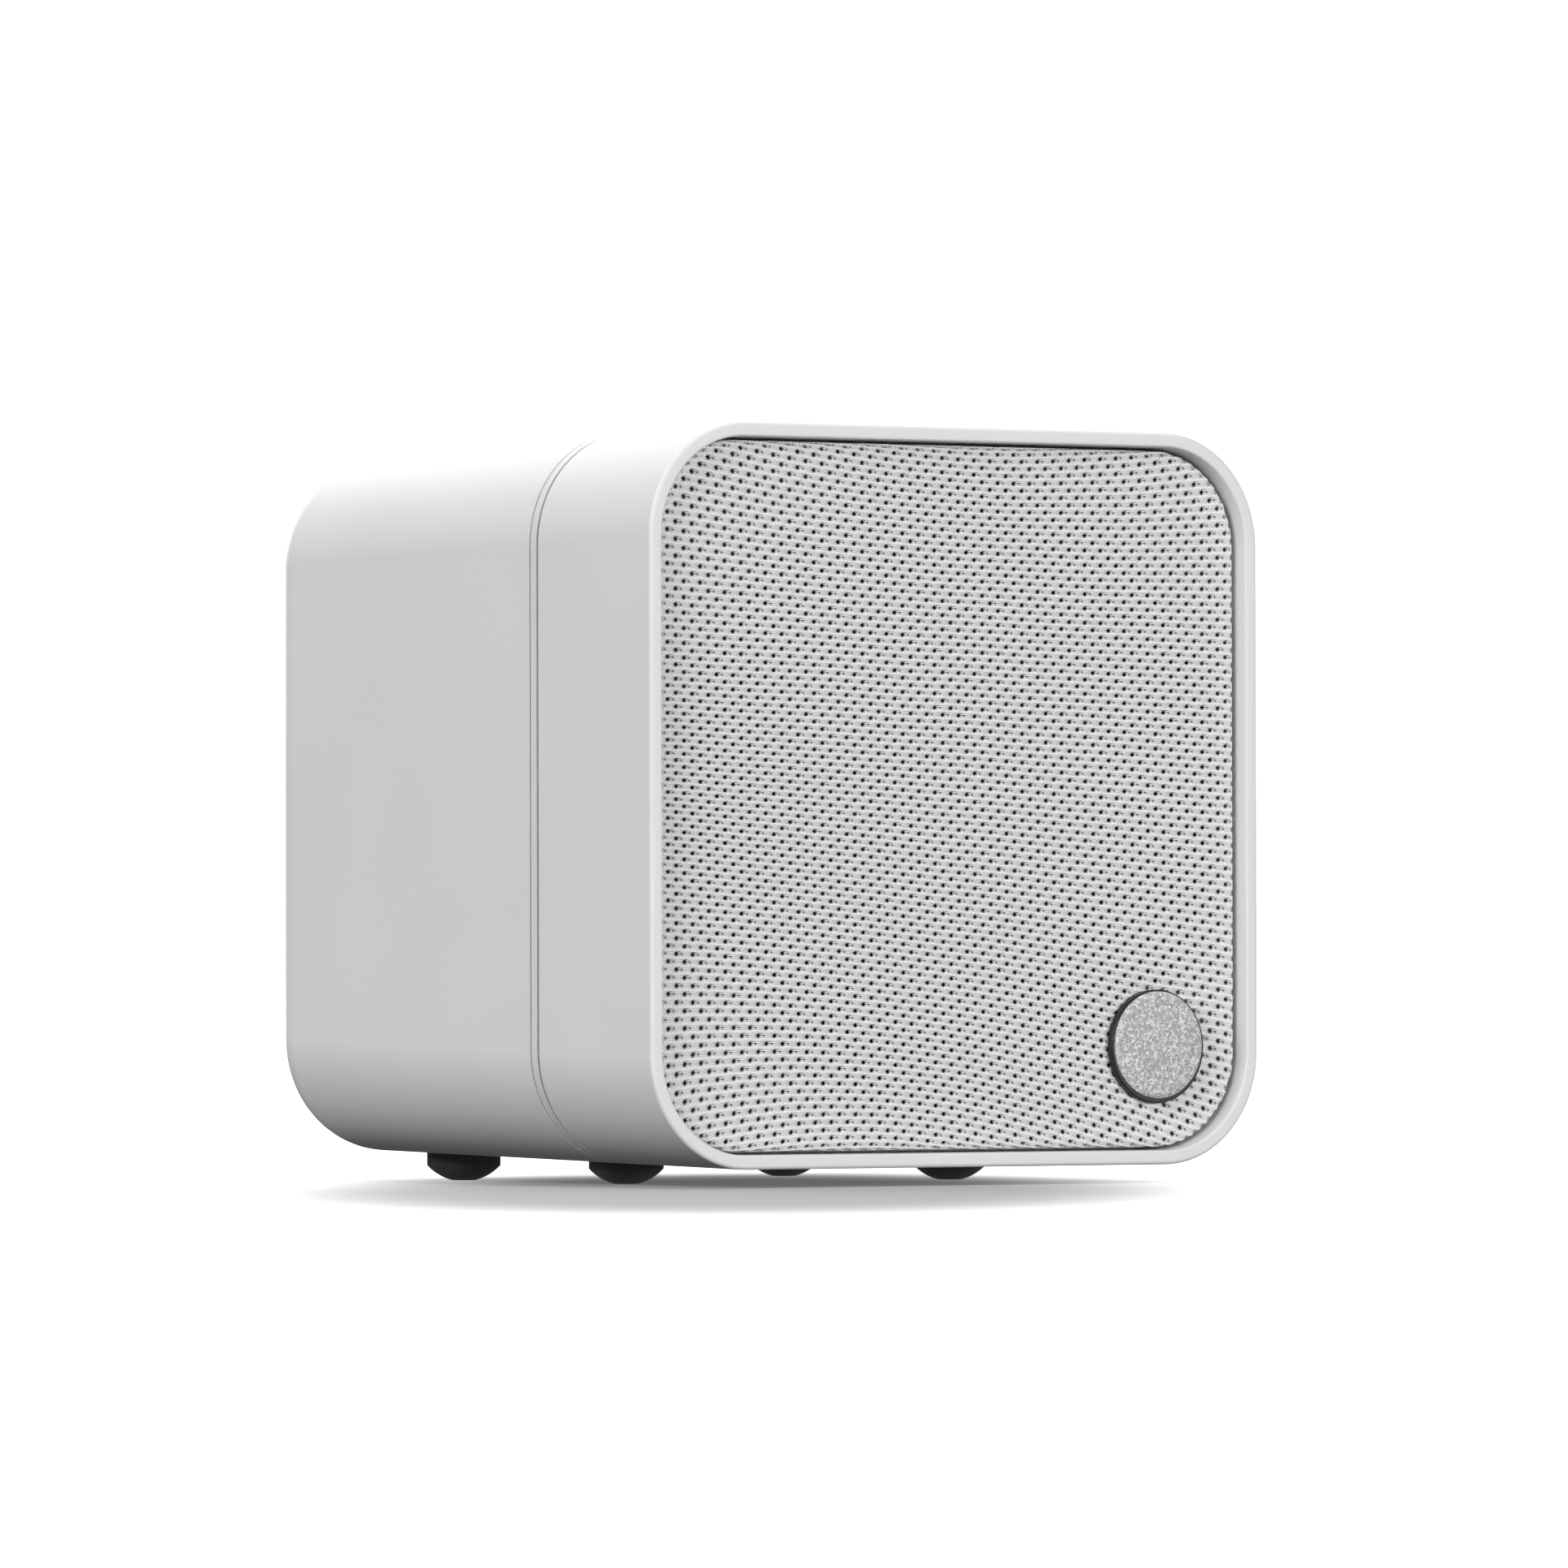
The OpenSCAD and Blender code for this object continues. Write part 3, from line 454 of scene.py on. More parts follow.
spider_cloth = Finish("spider_cloth", (0.55, 0.36, 0.14), 0.7)
x, _, z = spider_cloth.axes(spider_cloth.bench())
weave = (x * 9.0).wave() * (z * 9.0).wave()
resin = spider_cloth.speckle(spider_cloth.bench(), 0.2)
spider_cloth.colours(resin + weave * 0.2, (0.4, 0.24, 0.08), (0.66, 0.46, 0.2))
spider_cloth.relief(weave, 0.04)

board = Finish("strip_board", (0.26, 0.15, 0.06), 0.6)
layers = board.speckle(board.bench((0.3, 6, 0.3)), 1.0, 3.0)
board.colours(layers, (0.17, 0.09, 0.035), (0.36, 0.22, 0.1))
board.relief(layers, 0.02)

# %% [markdown]
# ## Wadding
# Stretched noise at two sizes suggests tangled white fibres, and the shape under it
# carries the larger lumps.

# %% Wadding finish
wool = Finish("wadding", (0.78, 0.78, 0.75), 0.95, Sheen_Weight=0.4)
tangle = wool.speckle(wool.bench((1, 4, 1)), 0.8, 6.0, 0.75)
crossing = wool.speckle(wool.bench((4, 1, 2)), 0.7, 6.0, 0.75)
wool.colours(tangle * crossing * 2.0, (0.58, 0.58, 0.55), (0.88, 0.88, 0.85))
wool.relief(tangle + crossing, 0.5)
print(len(finishes), "finishes so far")

# %% [markdown]
# ## Carrying a profile round the cabinet
# A moulded shell has the same section all the way round. So one section is drawn as
# a wire of points, each with its inset from the outline and its depth. A helper spins
# it round each corner and pushes it along each side.


# %% Sections carried round a rounded rectangle
def arc(inset, depth, radius, start, end, steps=6):
    """Points of a round edge in a section, from angle start to end in degrees."""
    angles = [math.radians(start + (end - start) * k / steps) for k in range(steps + 1)]
    return [(inset + radius * math.cos(a), depth + radius * math.sin(a)) for a in angles]


def new_of(made, kind):
    return [item for item in made if isinstance(item, kind)]


def carried(bm, section, half_w, half_h, radius, centre=(0, 0), steps=20, closed=False):
    """Carries a section of (inset, depth) points once round a rounded rectangle."""
    before = set(bm.verts)
    flat_w, flat_h = half_w - radius, half_h - radius
    line = [bm.verts.new((half_w - inset, depth, flat_h)) for inset, depth in section]
    pairs = list(zip(line, line[1:] + line[:1]))
    edges = [bm.edges.new(pair) for pair in (pairs if closed else pairs[:-1])]
    corners = ((flat_w, flat_h), (-flat_w, flat_h), (-flat_w, -flat_h), (flat_w, -flat_h))
    for k, (corner_x, corner_z) in enumerate(corners):
        ends = {vert for edge in edges for vert in edge.verts}
        spun = bmesh.ops.spin(bm, geom=list(ends) + edges, cent=(corner_x, 0, corner_z),
                              axis=(0, -1, 0), angle=math.radians(90), steps=steps)
        edges = new_of(spun["geom_last"], bmesh.types.BMEdge)
        pushed = bmesh.ops.extrude_edge_only(bm, edges=edges)["geom"]
        ahead_verts = new_of(pushed, bmesh.types.BMVert)
        following = corners[(k + 1) % 4]
        move = (following[0] - corner_x, 0, following[1] - corner_z)
        bmesh.ops.translate(bm, vec=move, verts=ahead_verts)
        fresh = set(ahead_verts)
        edges = [e for e in new_of(pushed, bmesh.types.BMEdge) if fresh.issuperset(e.verts)]
    made = [vert for vert in bm.verts if vert not in before]
    bmesh.ops.translate(bm, vec=(centre[0], 0, centre[1]), verts=made)
    bmesh.ops.remove_doubles(bm, verts=made, dist=0.0005)


# %% [markdown]
# ## Flat walls with openings
# The baffle and the back are flat walls with holes. On each side of the wall,
# triangle_fill spans the space between the open border and the rims of the holes.
# Bridging each hole's two rims then gives the hole its wall.


# %% Openings in a flat wall
def loop_edges(verts):
    """The edges that lie within a set of vertices."""
    chosen = set(verts)
    return list({e for v in chosen for e in v.link_edges if chosen.issuperset(e.verts)})


def round_rim(bm, radius, centre, depth, segments=72):
    """A round wire facing along the depth."""
    upright = Matrix.Rotation(math.radians(90), 4, "X")
    place = Matrix.Translation((centre[0], depth, centre[1])) @ upright
    made = bmesh.ops.create_circle(bm, radius=radius, segments=segments, matrix=place)
    return loop_edges(made["verts"])


def soft_rim(bm, half_w, half_h, radius, centre, depth):
    """A rounded rectangle as a wire facing along the depth."""
    made = bmesh.ops.create_grid(bm, x_segments=1, y_segments=1, size=1)["verts"]
    bmesh.ops.delete(bm, geom=list({f for v in made for f in v.link_faces}), context="FACES_ONLY")
    bmesh.ops.scale(bm, vec=(half_w, half_h, 1), verts=made)
    bmesh.ops.rotate(bm, matrix=Matrix.Rotation(math.radians(90), 3, "X"), verts=made)
    bmesh.ops.translate(bm, vec=(centre[0], depth, centre[1]), verts=made)
    rounded = bmesh.ops.bevel(bm, geom=made, offset=radius, offset_type="OFFSET", segments=10,
                              profile=0.5, affect="VERTICES", material=-1)
    return loop_edges(rounded["verts"])


def border_at(bm, depth):
    """The open edges at a depth."""
    level = [v for v in bm.verts if abs(v.co.y - depth) < 0.001]
    return [e for e in loop_edges(level) if e.is_boundary or not e.link_faces]


def filled(bm, edges):
    bmesh.ops.triangle_fill(bm, use_beauty=True, edges=edges, normal=(0, 1, 0))


def pierced_wall(bm, front, back, rims_at):
    """Fills a wall between its border and its holes on both sides, and joins the rims."""
    front_rims, back_rims = rims_at(front), rims_at(back)
    for depth, rims in ((front, front_rims), (back, back_rims)):
        filled(bm, list({*border_at(bm, depth), *(edge for rim in rims for edge in rim)}))
    for near, far in zip(front_rims, back_rims):
        bmesh.ops.bridge_loops(bm, edges=near + far)


# %% [markdown]
# ## Drawn-in sides
# A moulded shell leaves its mould only if its sides lean. Each side draws in evenly
# from the rim to the back.

# %% Lean of the sides
draft = 1.4
wall = 2.4
corner_r = 12
both = (-1, 1)
seam_start, seam_end = (span("seam_band")[k].y for k in (0, 1))


def drawn_in(bm):
    """Shifts the outer walls towards the middle in proportion to their depth."""
    for vert in bm.verts:
        if max(abs(vert.co.x), abs(vert.co.z)) < 30:
            continue
        lean = draft * max(vert.co.y, 0) / back_d
        vert.co.x -= math.copysign(lean, vert.co.x)
        vert.co.z -= math.copysign(lean, vert.co.z)


def even_shading(piece):
    """Lets the broad flats rule the shading at their borders."""
    piece.modifiers.new("even", "WEIGHTED_NORMAL").keep_sharp = True


# %% [markdown]
# ## Front shell
# The front shell carries the rim round the grille and, 7.4 mm behind it, the baffle
# that holds the driver. One section runs from the baffle's front over the rim to the
# baffle's rear face. The baffle is then pierced for the driver and for the four rubber
# cups that grip the grille's pegs.

# %% Front shell
rim_w = 1.5
baffle_d, baffle_back = 7.4, 10.4
baffle_inset = 4
cup_x, cup_z, cup_hole_r = 31.5, 24, 2.62
driver_hole_r = 27.6
cups = [(i * cup_x, k * cup_z) for i in both for k in both]
bm = bmesh.new()
section = [(baffle_inset, baffle_d), (rim_w, baffle_d)]
section += arc(rim_w - 0.22, 0.22, 0.22, 0, -90, 4)
section += arc(0.4, 0.4, 0.4, -90, -180)
section += [(0, seam_start - 0.12), (0.12, seam_start), (wall, seam_start), (wall, baffle_back)]
section += [(baffle_inset, baffle_back)]
carried(bm, section, half, half, corner_r, steps=24)
pierced_wall(bm, baffle_d, baffle_back, lambda depth: [
    round_rim(bm, driver_hole_r, (0, 0), depth, 96),
    *(round_rim(bm, cup_hole_r, cup, depth, 32) for cup in cups)])
drawn_in(bm)
even_shading(placed(bm, "front_moulding", "front_shell", 40))

# %% [markdown]
# ## Rear shell
# The rear shell is a deep bowl with its back edge rounded to 6 mm. Its flat back has
# openings for the terminal dish, the threaded insert and the keyhole plate, each a hair
# larger than its part, which leaves a fine dark line.

# %% Rear shell
rear_round, fit_gap = 6, 0.12
dish_r, plate_r = 4, 3
bm = bmesh.new()
section = arc(rear_round, back_d - rear_round, rear_round - wall, 90, 180, 8)
section += [(wall, seam_end), (0.12, seam_end), (0, seam_end + 0.12)]
section += arc(rear_round, back_d - rear_round, rear_round, 180, 90, 14)
carried(bm, section, half, half, corner_r, steps=24)
dish_low, dish_high = span("terminal_dish")
plate_low, plate_high = span("keyhole_plate")
insert_low, insert_high = span("bracket_insert")
dish_mid, plate_mid, insert_mid = (
    (low + high) / 2 for low, high in
    ((dish_low, dish_high), (plate_low, plate_high), (insert_low, insert_high)))
pierced_wall(bm, back_d - wall, back_d, lambda depth: [
    soft_rim(bm, dish_high.x + fit_gap, dish_high.z - dish_mid.z + fit_gap, dish_r + fit_gap,
             (0, dish_mid.z), depth),
    soft_rim(bm, plate_high.x + fit_gap, plate_high.z - plate_mid.z + fit_gap,
             plate_r + fit_gap, (0, plate_mid.z), depth),
    round_rim(bm, insert_high.x + fit_gap / 2, (0, insert_mid.z), depth, 48)])
drawn_in(bm)
even_shading(placed(bm, "rear_moulding", "rear_shell", 40))

# %% [markdown]
# ## Seam band
# A narrow band closes the joint between the shells. It stands flush with them, and a
# groove on each side of it draws the two fine lines round the cabinet.

# %% Seam band
groove, groove_deep = 0.34, 1.3
bm = bmesh.new()
section = [(wall + 0.1, seam_start), (groove_deep, seam_start), (groove_deep, seam_start + groove)]
section += [(0.06, seam_start + groove), (0, seam_start + groove + 0.06)]
section += [(0, seam_end - groove - 0.06), (0.06, seam_end - groove)]
section += [(groove_deep, seam_end - groove), (groove_deep, seam_end), (wall + 0.1, seam_end)]
carried(bm, section, half, half, corner_r, steps=24, closed=True)
drawn_in(bm)
even_shading(placed(bm, "seam_ring", "seam_band", 40))

# %% [markdown]
# ## Turned pieces
# Feet, badge, posts and screws are round. The helper spins half of a section, listed
# as radius and place, round an axis along the depth or upright.


# %% Turning
def turned(bm, section, centre, upright=False, steps=64):
    """Spins a section of (radius, place) points round an axis through centre."""
    if upright:
        points = [(centre[0] + radius, centre[1], place) for radius, place in section]
        pivot, axis = (centre[0], centre[1], 0), (0, 0, 1)
    else:
        points = [(centre[0] + radius, place, centre[1]) for radius, place in section]
        pivot, axis = (centre[0], 0, centre[1]), (0, 1, 0)
    line = [bm.verts.new(point) for point in points]
    edges = [bm.edges.new(pair) for pair in zip(line, line[1:])]
    bmesh.ops.spin(bm, geom=line + edges, cent=pivot, axis=axis, angle=math.tau, steps=steps,
                   use_merge=True)


def lathed(name, node, section, centre, sharp=40, **how):
    """A turned piece of its own."""
    bm = bmesh.new()
    turned(bm, section, centre, **how)
    placed(bm, name, node, sharp)


# %% [markdown]
# ## Feet
# Four domed rubber pads stand in shallow pockets under the rear shell. Each ends in a
# small flat where it meets the shelf.

# %% Feet
foot_r, flat_r, dome_h = 4, 1.2, 1.75
dome_r = (foot_r ** 2 + dome_h ** 2) / (2 * dome_h)
dome_top = math.sqrt(dome_r ** 2 - flat_r ** 2)
for side in ("front_left", "front_right", "rear_left", "rear_right"):
    low, high = span(f"foot_{side}")
    section = [(0, floor_z)]
    for k in range(11):
        radius = flat_r + (foot_r - 0.12 - flat_r) * k / 10
        section.append((radius, floor_z + dome_top - math.sqrt(dome_r ** 2 - radius ** 2)))
    section += [(foot_r, section[-1][1] + 0.16), (foot_r, high.z - 0.1)]
    section += [(foot_r - 0.1, high.z), (0, high.z)]
    centre = ((low.x + high.x) / 2, (low.y + high.y) / 2)
    lathed(f"foot_pad_{side}", f"foot_{side}", section, centre, upright=True)

# %% [markdown]
# ## Badge
# The badge is a thin metal disc with a bright cut edge, in a black holder whose stem
# goes through the cloth. The holder hangs a hair low, so more of its black shows below
# the badge than above it, a painted shadow under the disc. The face is left plain.

# %% Badge and its holder
badge_low, badge_high = span("badge_disc")
badge_mid = (badge_low + badge_high) / 2
badge_r = badge_high.x - badge_mid.x
cut = 0.26
section = [(0, badge_low.y), (badge_r - cut - 0.25, badge_low.y)]
section += [(badge_r - cut - 0.08, badge_low.y + 0.02), (badge_r - 0.05, badge_low.y + cut - 0.03)]
section += [(badge_r, badge_low.y + cut + 0.03), (badge_r, badge_high.y), (0, badge_high.y)]
lathed("badge_face", "badge_disc", section, (badge_mid.x, badge_mid.z), 50, steps=96)

holder_low, holder_high = span("badge_holder")
holder_r = (holder_high.x - holder_low.x) / 2
# The holder sits lowered so its black shows below the badge as a painted shadow.
painted_shadow_drop, stem_r = 0.16, 2
plate_d = badge_high.y + 0.7
section = [(0, badge_high.y - 0.02), (holder_r - 0.12, badge_high.y)]
section += [(holder_r, badge_high.y + 0.12), (holder_r, plate_d)]
section += [(stem_r, plate_d), (stem_r, holder_high.y), (0, holder_high.y)]
lathed("badge_carrier", "badge_holder", section, (badge_mid.x, badge_mid.z - painted_shadow_drop),
       steps=96)

# %% [markdown]
# ## Knitted grille
# The grille is a warp-knitted mesh stretched over its frame. Rows of small holes are
# staggered like bricks, with heavier ribs of yarn between them. The stretching bends
# the rows: they sag at the top of the face, arch at the bottom and slope down a little
# to the right. The holes are real, cut in a flat sheet before it is bent.

# %% The flat mesh and its holes
hole_pitch, row_pitch = 2.05, 0.75
half_pitch = hole_pitch / 2
cells_wide, rows_high = 84, 114
sheet_w, sheet_h = cells_wide * half_pitch, rows_high * row_pitch
bm = bmesh.new()
bmesh.ops.create_grid(bm, x_segments=cells_wide, y_segments=rows_high, size=0.5)
bmesh.ops.scale(bm, vec=(sheet_w, sheet_h, 1), verts=bm.verts)
knit_map = bm.loops.layers.uv.new("knit")


def cell_of(point):
    """Column of half a hole pitch and row of a point on the flat sheet."""
    column = (point.x + sheet_w / 2) / half_pitch
    row = (point.y + sheet_h / 2) / row_pitch
    return column, row


brick_walls = []
for edge in bm.edges:
    middle_point = (edge.verts[0].co + edge.verts[1].co) / 2
    column, row = cell_of(middle_point)
    upright = abs(edge.verts[0].co.x - edge.verts[1].co.x) < 0.01
    if upright and edge.is_manifold and (round(column) + int(row)) % 2 == 1:
        brick_walls.append(edge)
bmesh.ops.dissolve_edges(bm, edges=brick_walls, use_verts=False)
bricks = [face for face in bm.faces if len(face.verts) == 6]
hole_centres = [face.calc_center_median() for face in bricks]
bmesh.ops.inset_individual(bm, faces=bricks, thickness=0.2, use_even_offset=True)
hole_w, hole_h = 0.27, 0.215
for face, centre in zip(bricks, hole_centres):
    for vert in face.verts:
        reach = vert.co - centre
        slant = math.atan2(reach.y * 1.6, reach.x)
        vert.co = centre + Vector((hole_w * math.cos(slant), hole_h * math.sin(slant), -0.1))
for face in bm.faces:
    for loop in face.loops:
        column, row = cell_of(loop.vert.co)
        loop[knit_map].uv = (column / 2, row)
bmesh.ops.delete(bm, geom=bricks, context="FACES")
print(len(bricks), "holes in the sheet")

# %% [markdown]
# ## Bending the mesh to the frame
# A point of the sheet first slides with its row, then it is wrapped: inside the face
# it stays level, at the frame's edge it rolls over a radius and beyond that it runs
# back along the frame's side. What reaches past the frame's back is trimmed. Round the
# badge the yarn is pulled in and crowds together.

# %% Slide, wrap and trim
cloth_low, cloth_high = span("grille_cloth")
cloth_half, cloth_d, cloth_back = cloth_high.x, cloth_low.y, cloth_high.y
roll = 0.9
flat_half, flat_r = cloth_half - roll, corner_r - rim_w - 0.35 - roll
wrap_l = roll * math.pi / 2 + cloth_back - cloth_d - roll
badge_at = Vector((badge_mid.x, badge_mid.z))


slope_mean, slope_swing, slope_turn = -0.066, 0.033, 0.09
bow_odd, bow_even, bow_reach, bow_x = 0.0058, 0.0016, 32, -6
sway_deep, sway_fine = 0.1, 0.09


def slid(x, v):
    """Height of a row v at x, once the sheet is stretched."""
    slope = slope_swing * math.sin(slope_turn * (v + 3.5)) + slope_mean
    bow = bow_odd * (v / bow_reach) ** 3 - bow_even * (v / bow_reach) ** 2
    sway = sway_deep * noise.noise(Vector((x * sway_fine, v * sway_fine, 3)))
    return v + slope * x + bow * (x - bow_x) ** 2 / 2 + sway


def drawn_to_badge(x, z):
    """Pulls a point of the cloth in towards the badge's rim."""
    reach = Vector((x, z)) - badge_at
    gap = max(reach.length - holder_r, 0)
    pull = math.exp(-gap / 1.6)
    side = 0.5 + 0.5 * (reach.x * 0.6 + reach.y * 0.8) / max(reach.length, 0.1)
    moved = badge_at + reach * (1 - 0.03 * pull * side)
    return moved.x, moved.y, pull * (0.12 + 0.22 * side)


def wrapped(x, z, lift):
    """Bench place of a point of the sheet, and how far past the face it lies."""
    out_x, out_z = abs(x) - (flat_half - flat_r), abs(z) - (flat_half - flat_r)
    if out_x > 0 and out_z > 0:
        far = math.hypot(out_x, out_z)
        way = Vector((math.copysign(out_x / far, x), math.copysign(out_z / far, z)))
        past = far - flat_r
    elif out_x > out_z:
        way, past = Vector((math.copysign(1, x), 0)), out_x - flat_r
    else:
        way, past = Vector((0, math.copysign(1, z))), out_z - flat_r
    if past <= 0:
        return Vector((x, cloth_d + lift, z)), past
    base = Vector((x, z)) - way * past
    past_held = min(past, wrap_l)
    bend = min(past_held / roll, math.pi / 2)
    side = (roll - lift) * math.sin(bend)
    deep = roll - (roll - lift) * math.cos(bend) + max(past_held - roll * math.pi / 2, 0)
    return Vector((base.x + way.x * side, cloth_d + deep, base.y + way.y * side)), past


beyond = {}
for vert in bm.verts:
    x, row_z, dip = vert.co.x, slid(vert.co.x, vert.co.y), -vert.co.z
    x, z, pulled = drawn_to_badge(x, row_z)
    nap = 0.03 * noise.noise(Vector((x * 2.1, z * 2.1, 0)))
    vert.co, beyond[vert] = wrapped(x, z, dip + pulled + abs(nap))
trim = [face for face in bm.faces if all(beyond[vert] > wrap_l for vert in face.verts)]
bmesh.ops.delete(bm, geom=trim, context="FACES")
bmesh.ops.dissolve_degenerate(bm, edges=bm.edges, dist=0.0005)
loose = [vert for vert in bm.verts if not vert.link_faces]
bmesh.ops.delete(bm, geom=loose, context="VERTS")
bm.normal_update()
if sum(face.normal.y * face.calc_area() for face in bm.faces) > 0:
    bmesh.ops.reverse_faces(bm, faces=bm.faces)
print("cloth faces:", len(bm.faces))

# %% [markdown]
# ## Yarn
# The finish adds what the cut sheet can't carry. The sheet's own map says how far a
# point lies from the middle of its brick. Two thin threads run from hole to hole with
# a pin-hole between them, and the ribs between the rows are bundles of slanting
# strands. The colour carries painted light and shade: the raised yarn is painted paler,
# and painted shade darkens the low yarn, the rim of each hole and each pin-hole.

# %% Knit finish
knit = Finish("grille_knit", (0.6, 0.6, 0.6), 0.85, Sheen_Weight=0.15, Specular_IOR_Level=0.25)
flat_map = knit.node("ShaderNodeUVMap", {"uv_map": "knit"}, {})
across_u, along_v, _ = knit.axes(flat_map)
odd_row = (along_v.whole() / 2).part() * 2
a = ((across_u + odd_row * 0.5).part() - 0.5) * hole_pitch
b = (along_v.part() - 0.5) * row_pitch
fuzz_place = knit.node("ShaderNodeMapping", {}, {"Vector": flat_map, "Scale": (9.0, 5.0, 1)})
fuzz = knit.speckle(fuzz_place, 1.0, 4.0, 0.7)
thread_z, thread_w = 0.1, 0.07
pin_x, pin_w, pin_h = 0.62, 0.15, 0.11
shade_w, shade_h = 0.36, 0.27
strands_per_mm, waves_per_mm = 15.0, 9.0
thread = 1 - ((b.size() - thread_z).size() / thread_w).step(0.2, 1.0)
pin = ((a - pin_x) / pin_w) ** 2 + (b / pin_h) ** 2
pin_hole = 1 - pin.step(0.5, 1.3)
around = (a / shade_w) ** 2 + (b / shade_h) ** 2
hole_shade = 1 - around.step(0.3, 1.25)
rib = b.size().step(0.13, 0.3)
slant = a * strands_per_mm + (b * waves_per_mm).wave() * 2.2 + fuzz * 3.0
strands = slant.wave() * 0.5 + 0.5
height = rib * (strands * 0.55 + 0.45) + (1 - rib) * (thread * 0.6 - pin_hole * 0.8) + fuzz * 0.3
# Painted highlight and shade: paler on the raised yarn, darker round the holes, in the pin-holes
# and low down; the fuzz adds random tone.
painted_shading_and_fuzz = (height * 0.5 + 0.5 - hole_shade * 0.42 - pin_hole * 0.45).step(0.0, 1.0)
knit.colours(painted_shading_and_fuzz, (0.3, 0.3, 0.3), (1.0, 1.0, 1.0))
knit.set({"Roughness": fuzz * 0.15 + 0.78})
knit.relief(height, 0.14, 0.8)

# %% Hang the cloth on the grille
cloth = placed(bm, "grille_mesh", "grille_cloth", 180, tidy=False)
thickness = cloth.modifiers.new("yarn", "SOLIDIFY")
thickness.thickness = 0.4 * MM
thickness.offset = -1

# %% [markdown]
# ## Terminal dish
# The dish is a black bowl set in the back. Its flange lies flush with the back and
# holds two screws, and the two terminals stand on its floor. Three carried sections
# make the flange's edge, the mouth and the bowl's outside, and flat walls join them.

# %% Dish
dish_half = (dish_high - dish_low) / 2
dish_at = (0, dish_mid.z)
flange_front, flange_back = back_d, back_d - 1.4
bowl_floor, bowl_under = 66, 64
dish_screw_x, dish_screw_r = 21, 2.2
post_x, spigot_r = 9.5, 4.2
mouth_w, mouth_h, mouth_r = 17, 9.3, 3.4
bowl_w, bowl_h, bowl_r = 18.6, 10.9, 5
bm = bmesh.new()
edge = [(0, flange_back)] + arc(0.35, flange_front - 0.35, 0.35, 180, 90, 4)
carried(bm, edge, dish_half.x, dish_half.z, dish_r, dish_at, steps=12)
mouth = arc(-0.4, flange_front - 0.4, 0.4, 90, 0, 4)
mouth += arc(0.9, bowl_floor + 0.9, 0.9, 180, 270, 5)
carried(bm, mouth, mouth_w, mouth_h, mouth_r, dish_at, steps=12)
outside = [(0, flange_back), (0, bowl_under + 0.4), (0.4, bowl_under)]
carried(bm, outside, bowl_w, bowl_h, bowl_r, dish_at, steps=12)
for front, back, at, radius in ((flange_front, flange_back, dish_screw_x, dish_screw_r),
                                (bowl_floor, bowl_under, post_x, spigot_r)):
    pierced_wall(bm, front, back, lambda depth: [
        round_rim(bm, radius, (side * at, dish_mid.z), depth, 40) for side in both])
even_shading(placed(bm, "terminal_bowl", "terminal_dish", 40))

# %% [markdown]
# ## Cross-recess screws
# All the screws have a low rounded head with a tapering cross recess. One head is built
# at the middle of the bench, then copied to each place and turned a little further
# each time.


# %% Screws
def wire(bm, points, depth):
    """A closed wire through (x, height) points at a depth."""
    line = [bm.verts.new((x, depth, z)) for x, z in points]
    return [bm.edges.new(pair) for pair in zip(line, line[1:] + line[:1])]


def cross(arm, slot):
    """The twelve corners of a cross."""
    quarter = [(slot, arm), (slot, slot), (arm, slot)]
    points = []
    for turn_x, turn_z in ((1, 1), (1, -1), (-1, -1), (-1, 1)):
        corners = quarter if turn_x * turn_z > 0 else quarter[::-1]
        points += [(turn_x * x, turn_z * z) for x, z in corners]
    return points


def screws(name, node, places, face, under, head_r, shank_r):
    """Cross-recess screws of one kind, all in one piece."""
    low, high = span(node)
    way = math.copysign(1, under - face)
    tip = high.y if way > 0 else low.y
    flat, rise = head_r * 0.55, abs(under - face) * 0.4
    section = [(flat, face)]
    for k in range(1, 6):
        a = math.radians(18 * k)
        section.append((flat + (head_r - flat) * math.sin(a),
                        face + way * rise * (1 - math.cos(a))))
    section += [(head_r, under), (shank_r, under), (shank_r, tip), (0, tip)]
    bm = bmesh.new()
    turned(bm, section, (0, 0), steps=40)
    top = border_at(bm, face)
    mouth = wire(bm, cross(head_r * 0.5, head_r * 0.12), face)
    bottom = wire(bm, cross(head_r * 0.3, head_r * 0.09), face + way * head_r * 0.35)
    filled(bm, top + mouth)
    bmesh.ops.bridge_loops(bm, edges=mouth + bottom)
    filled(bm, bottom)
    pattern = bm.verts[:] + bm.edges[:] + bm.faces[:]
    for k, (x, z) in enumerate(places):
        copy = new_of(bmesh.ops.duplicate(bm, geom=pattern)["geom"], bmesh.types.BMVert)
        spin = Matrix.Rotation(math.radians(24 + 37 * k), 3, "Y")
        bmesh.ops.rotate(bm, matrix=spin, verts=copy)
        bmesh.ops.translate(bm, vec=(x, 0, z), verts=copy)
    bmesh.ops.delete(bm, geom=new_of(pattern, bmesh.types.BMVert), context="VERTS")
    placed(bm, name, node, 38)


plate_screw_x, driver_screw_at, shell_x, shell_z = 9, 31.2, 24, 31.5
flange_d = 5.4
screws("dish_fixings", "dish_screws", [(side * dish_screw_x, dish_mid.z) for side in both],
       back_d - 0.1, back_d - 1.1, 2.1, 1.1)
screws("plate_fixings", "keyhole_screws", [(side * plate_screw_x, plate_mid.z) for side in both],
       back_d - 0.05, back_d - 0.7, 1.9, 0.9)
screws("driver_fixings", "driver_screws",
       [(driver_screw_at, 0), (0, driver_screw_at), (-driver_screw_at, 0), (0, -driver_screw_at)],
       flange_d - 1, flange_d, 2.2, 1.2)
screws("shell_fixings", "shell_screws", [(i * shell_x, k * shell_z) for i in both for k in both],
       baffle_d - 2, baffle_d, 2.7, 1.4)

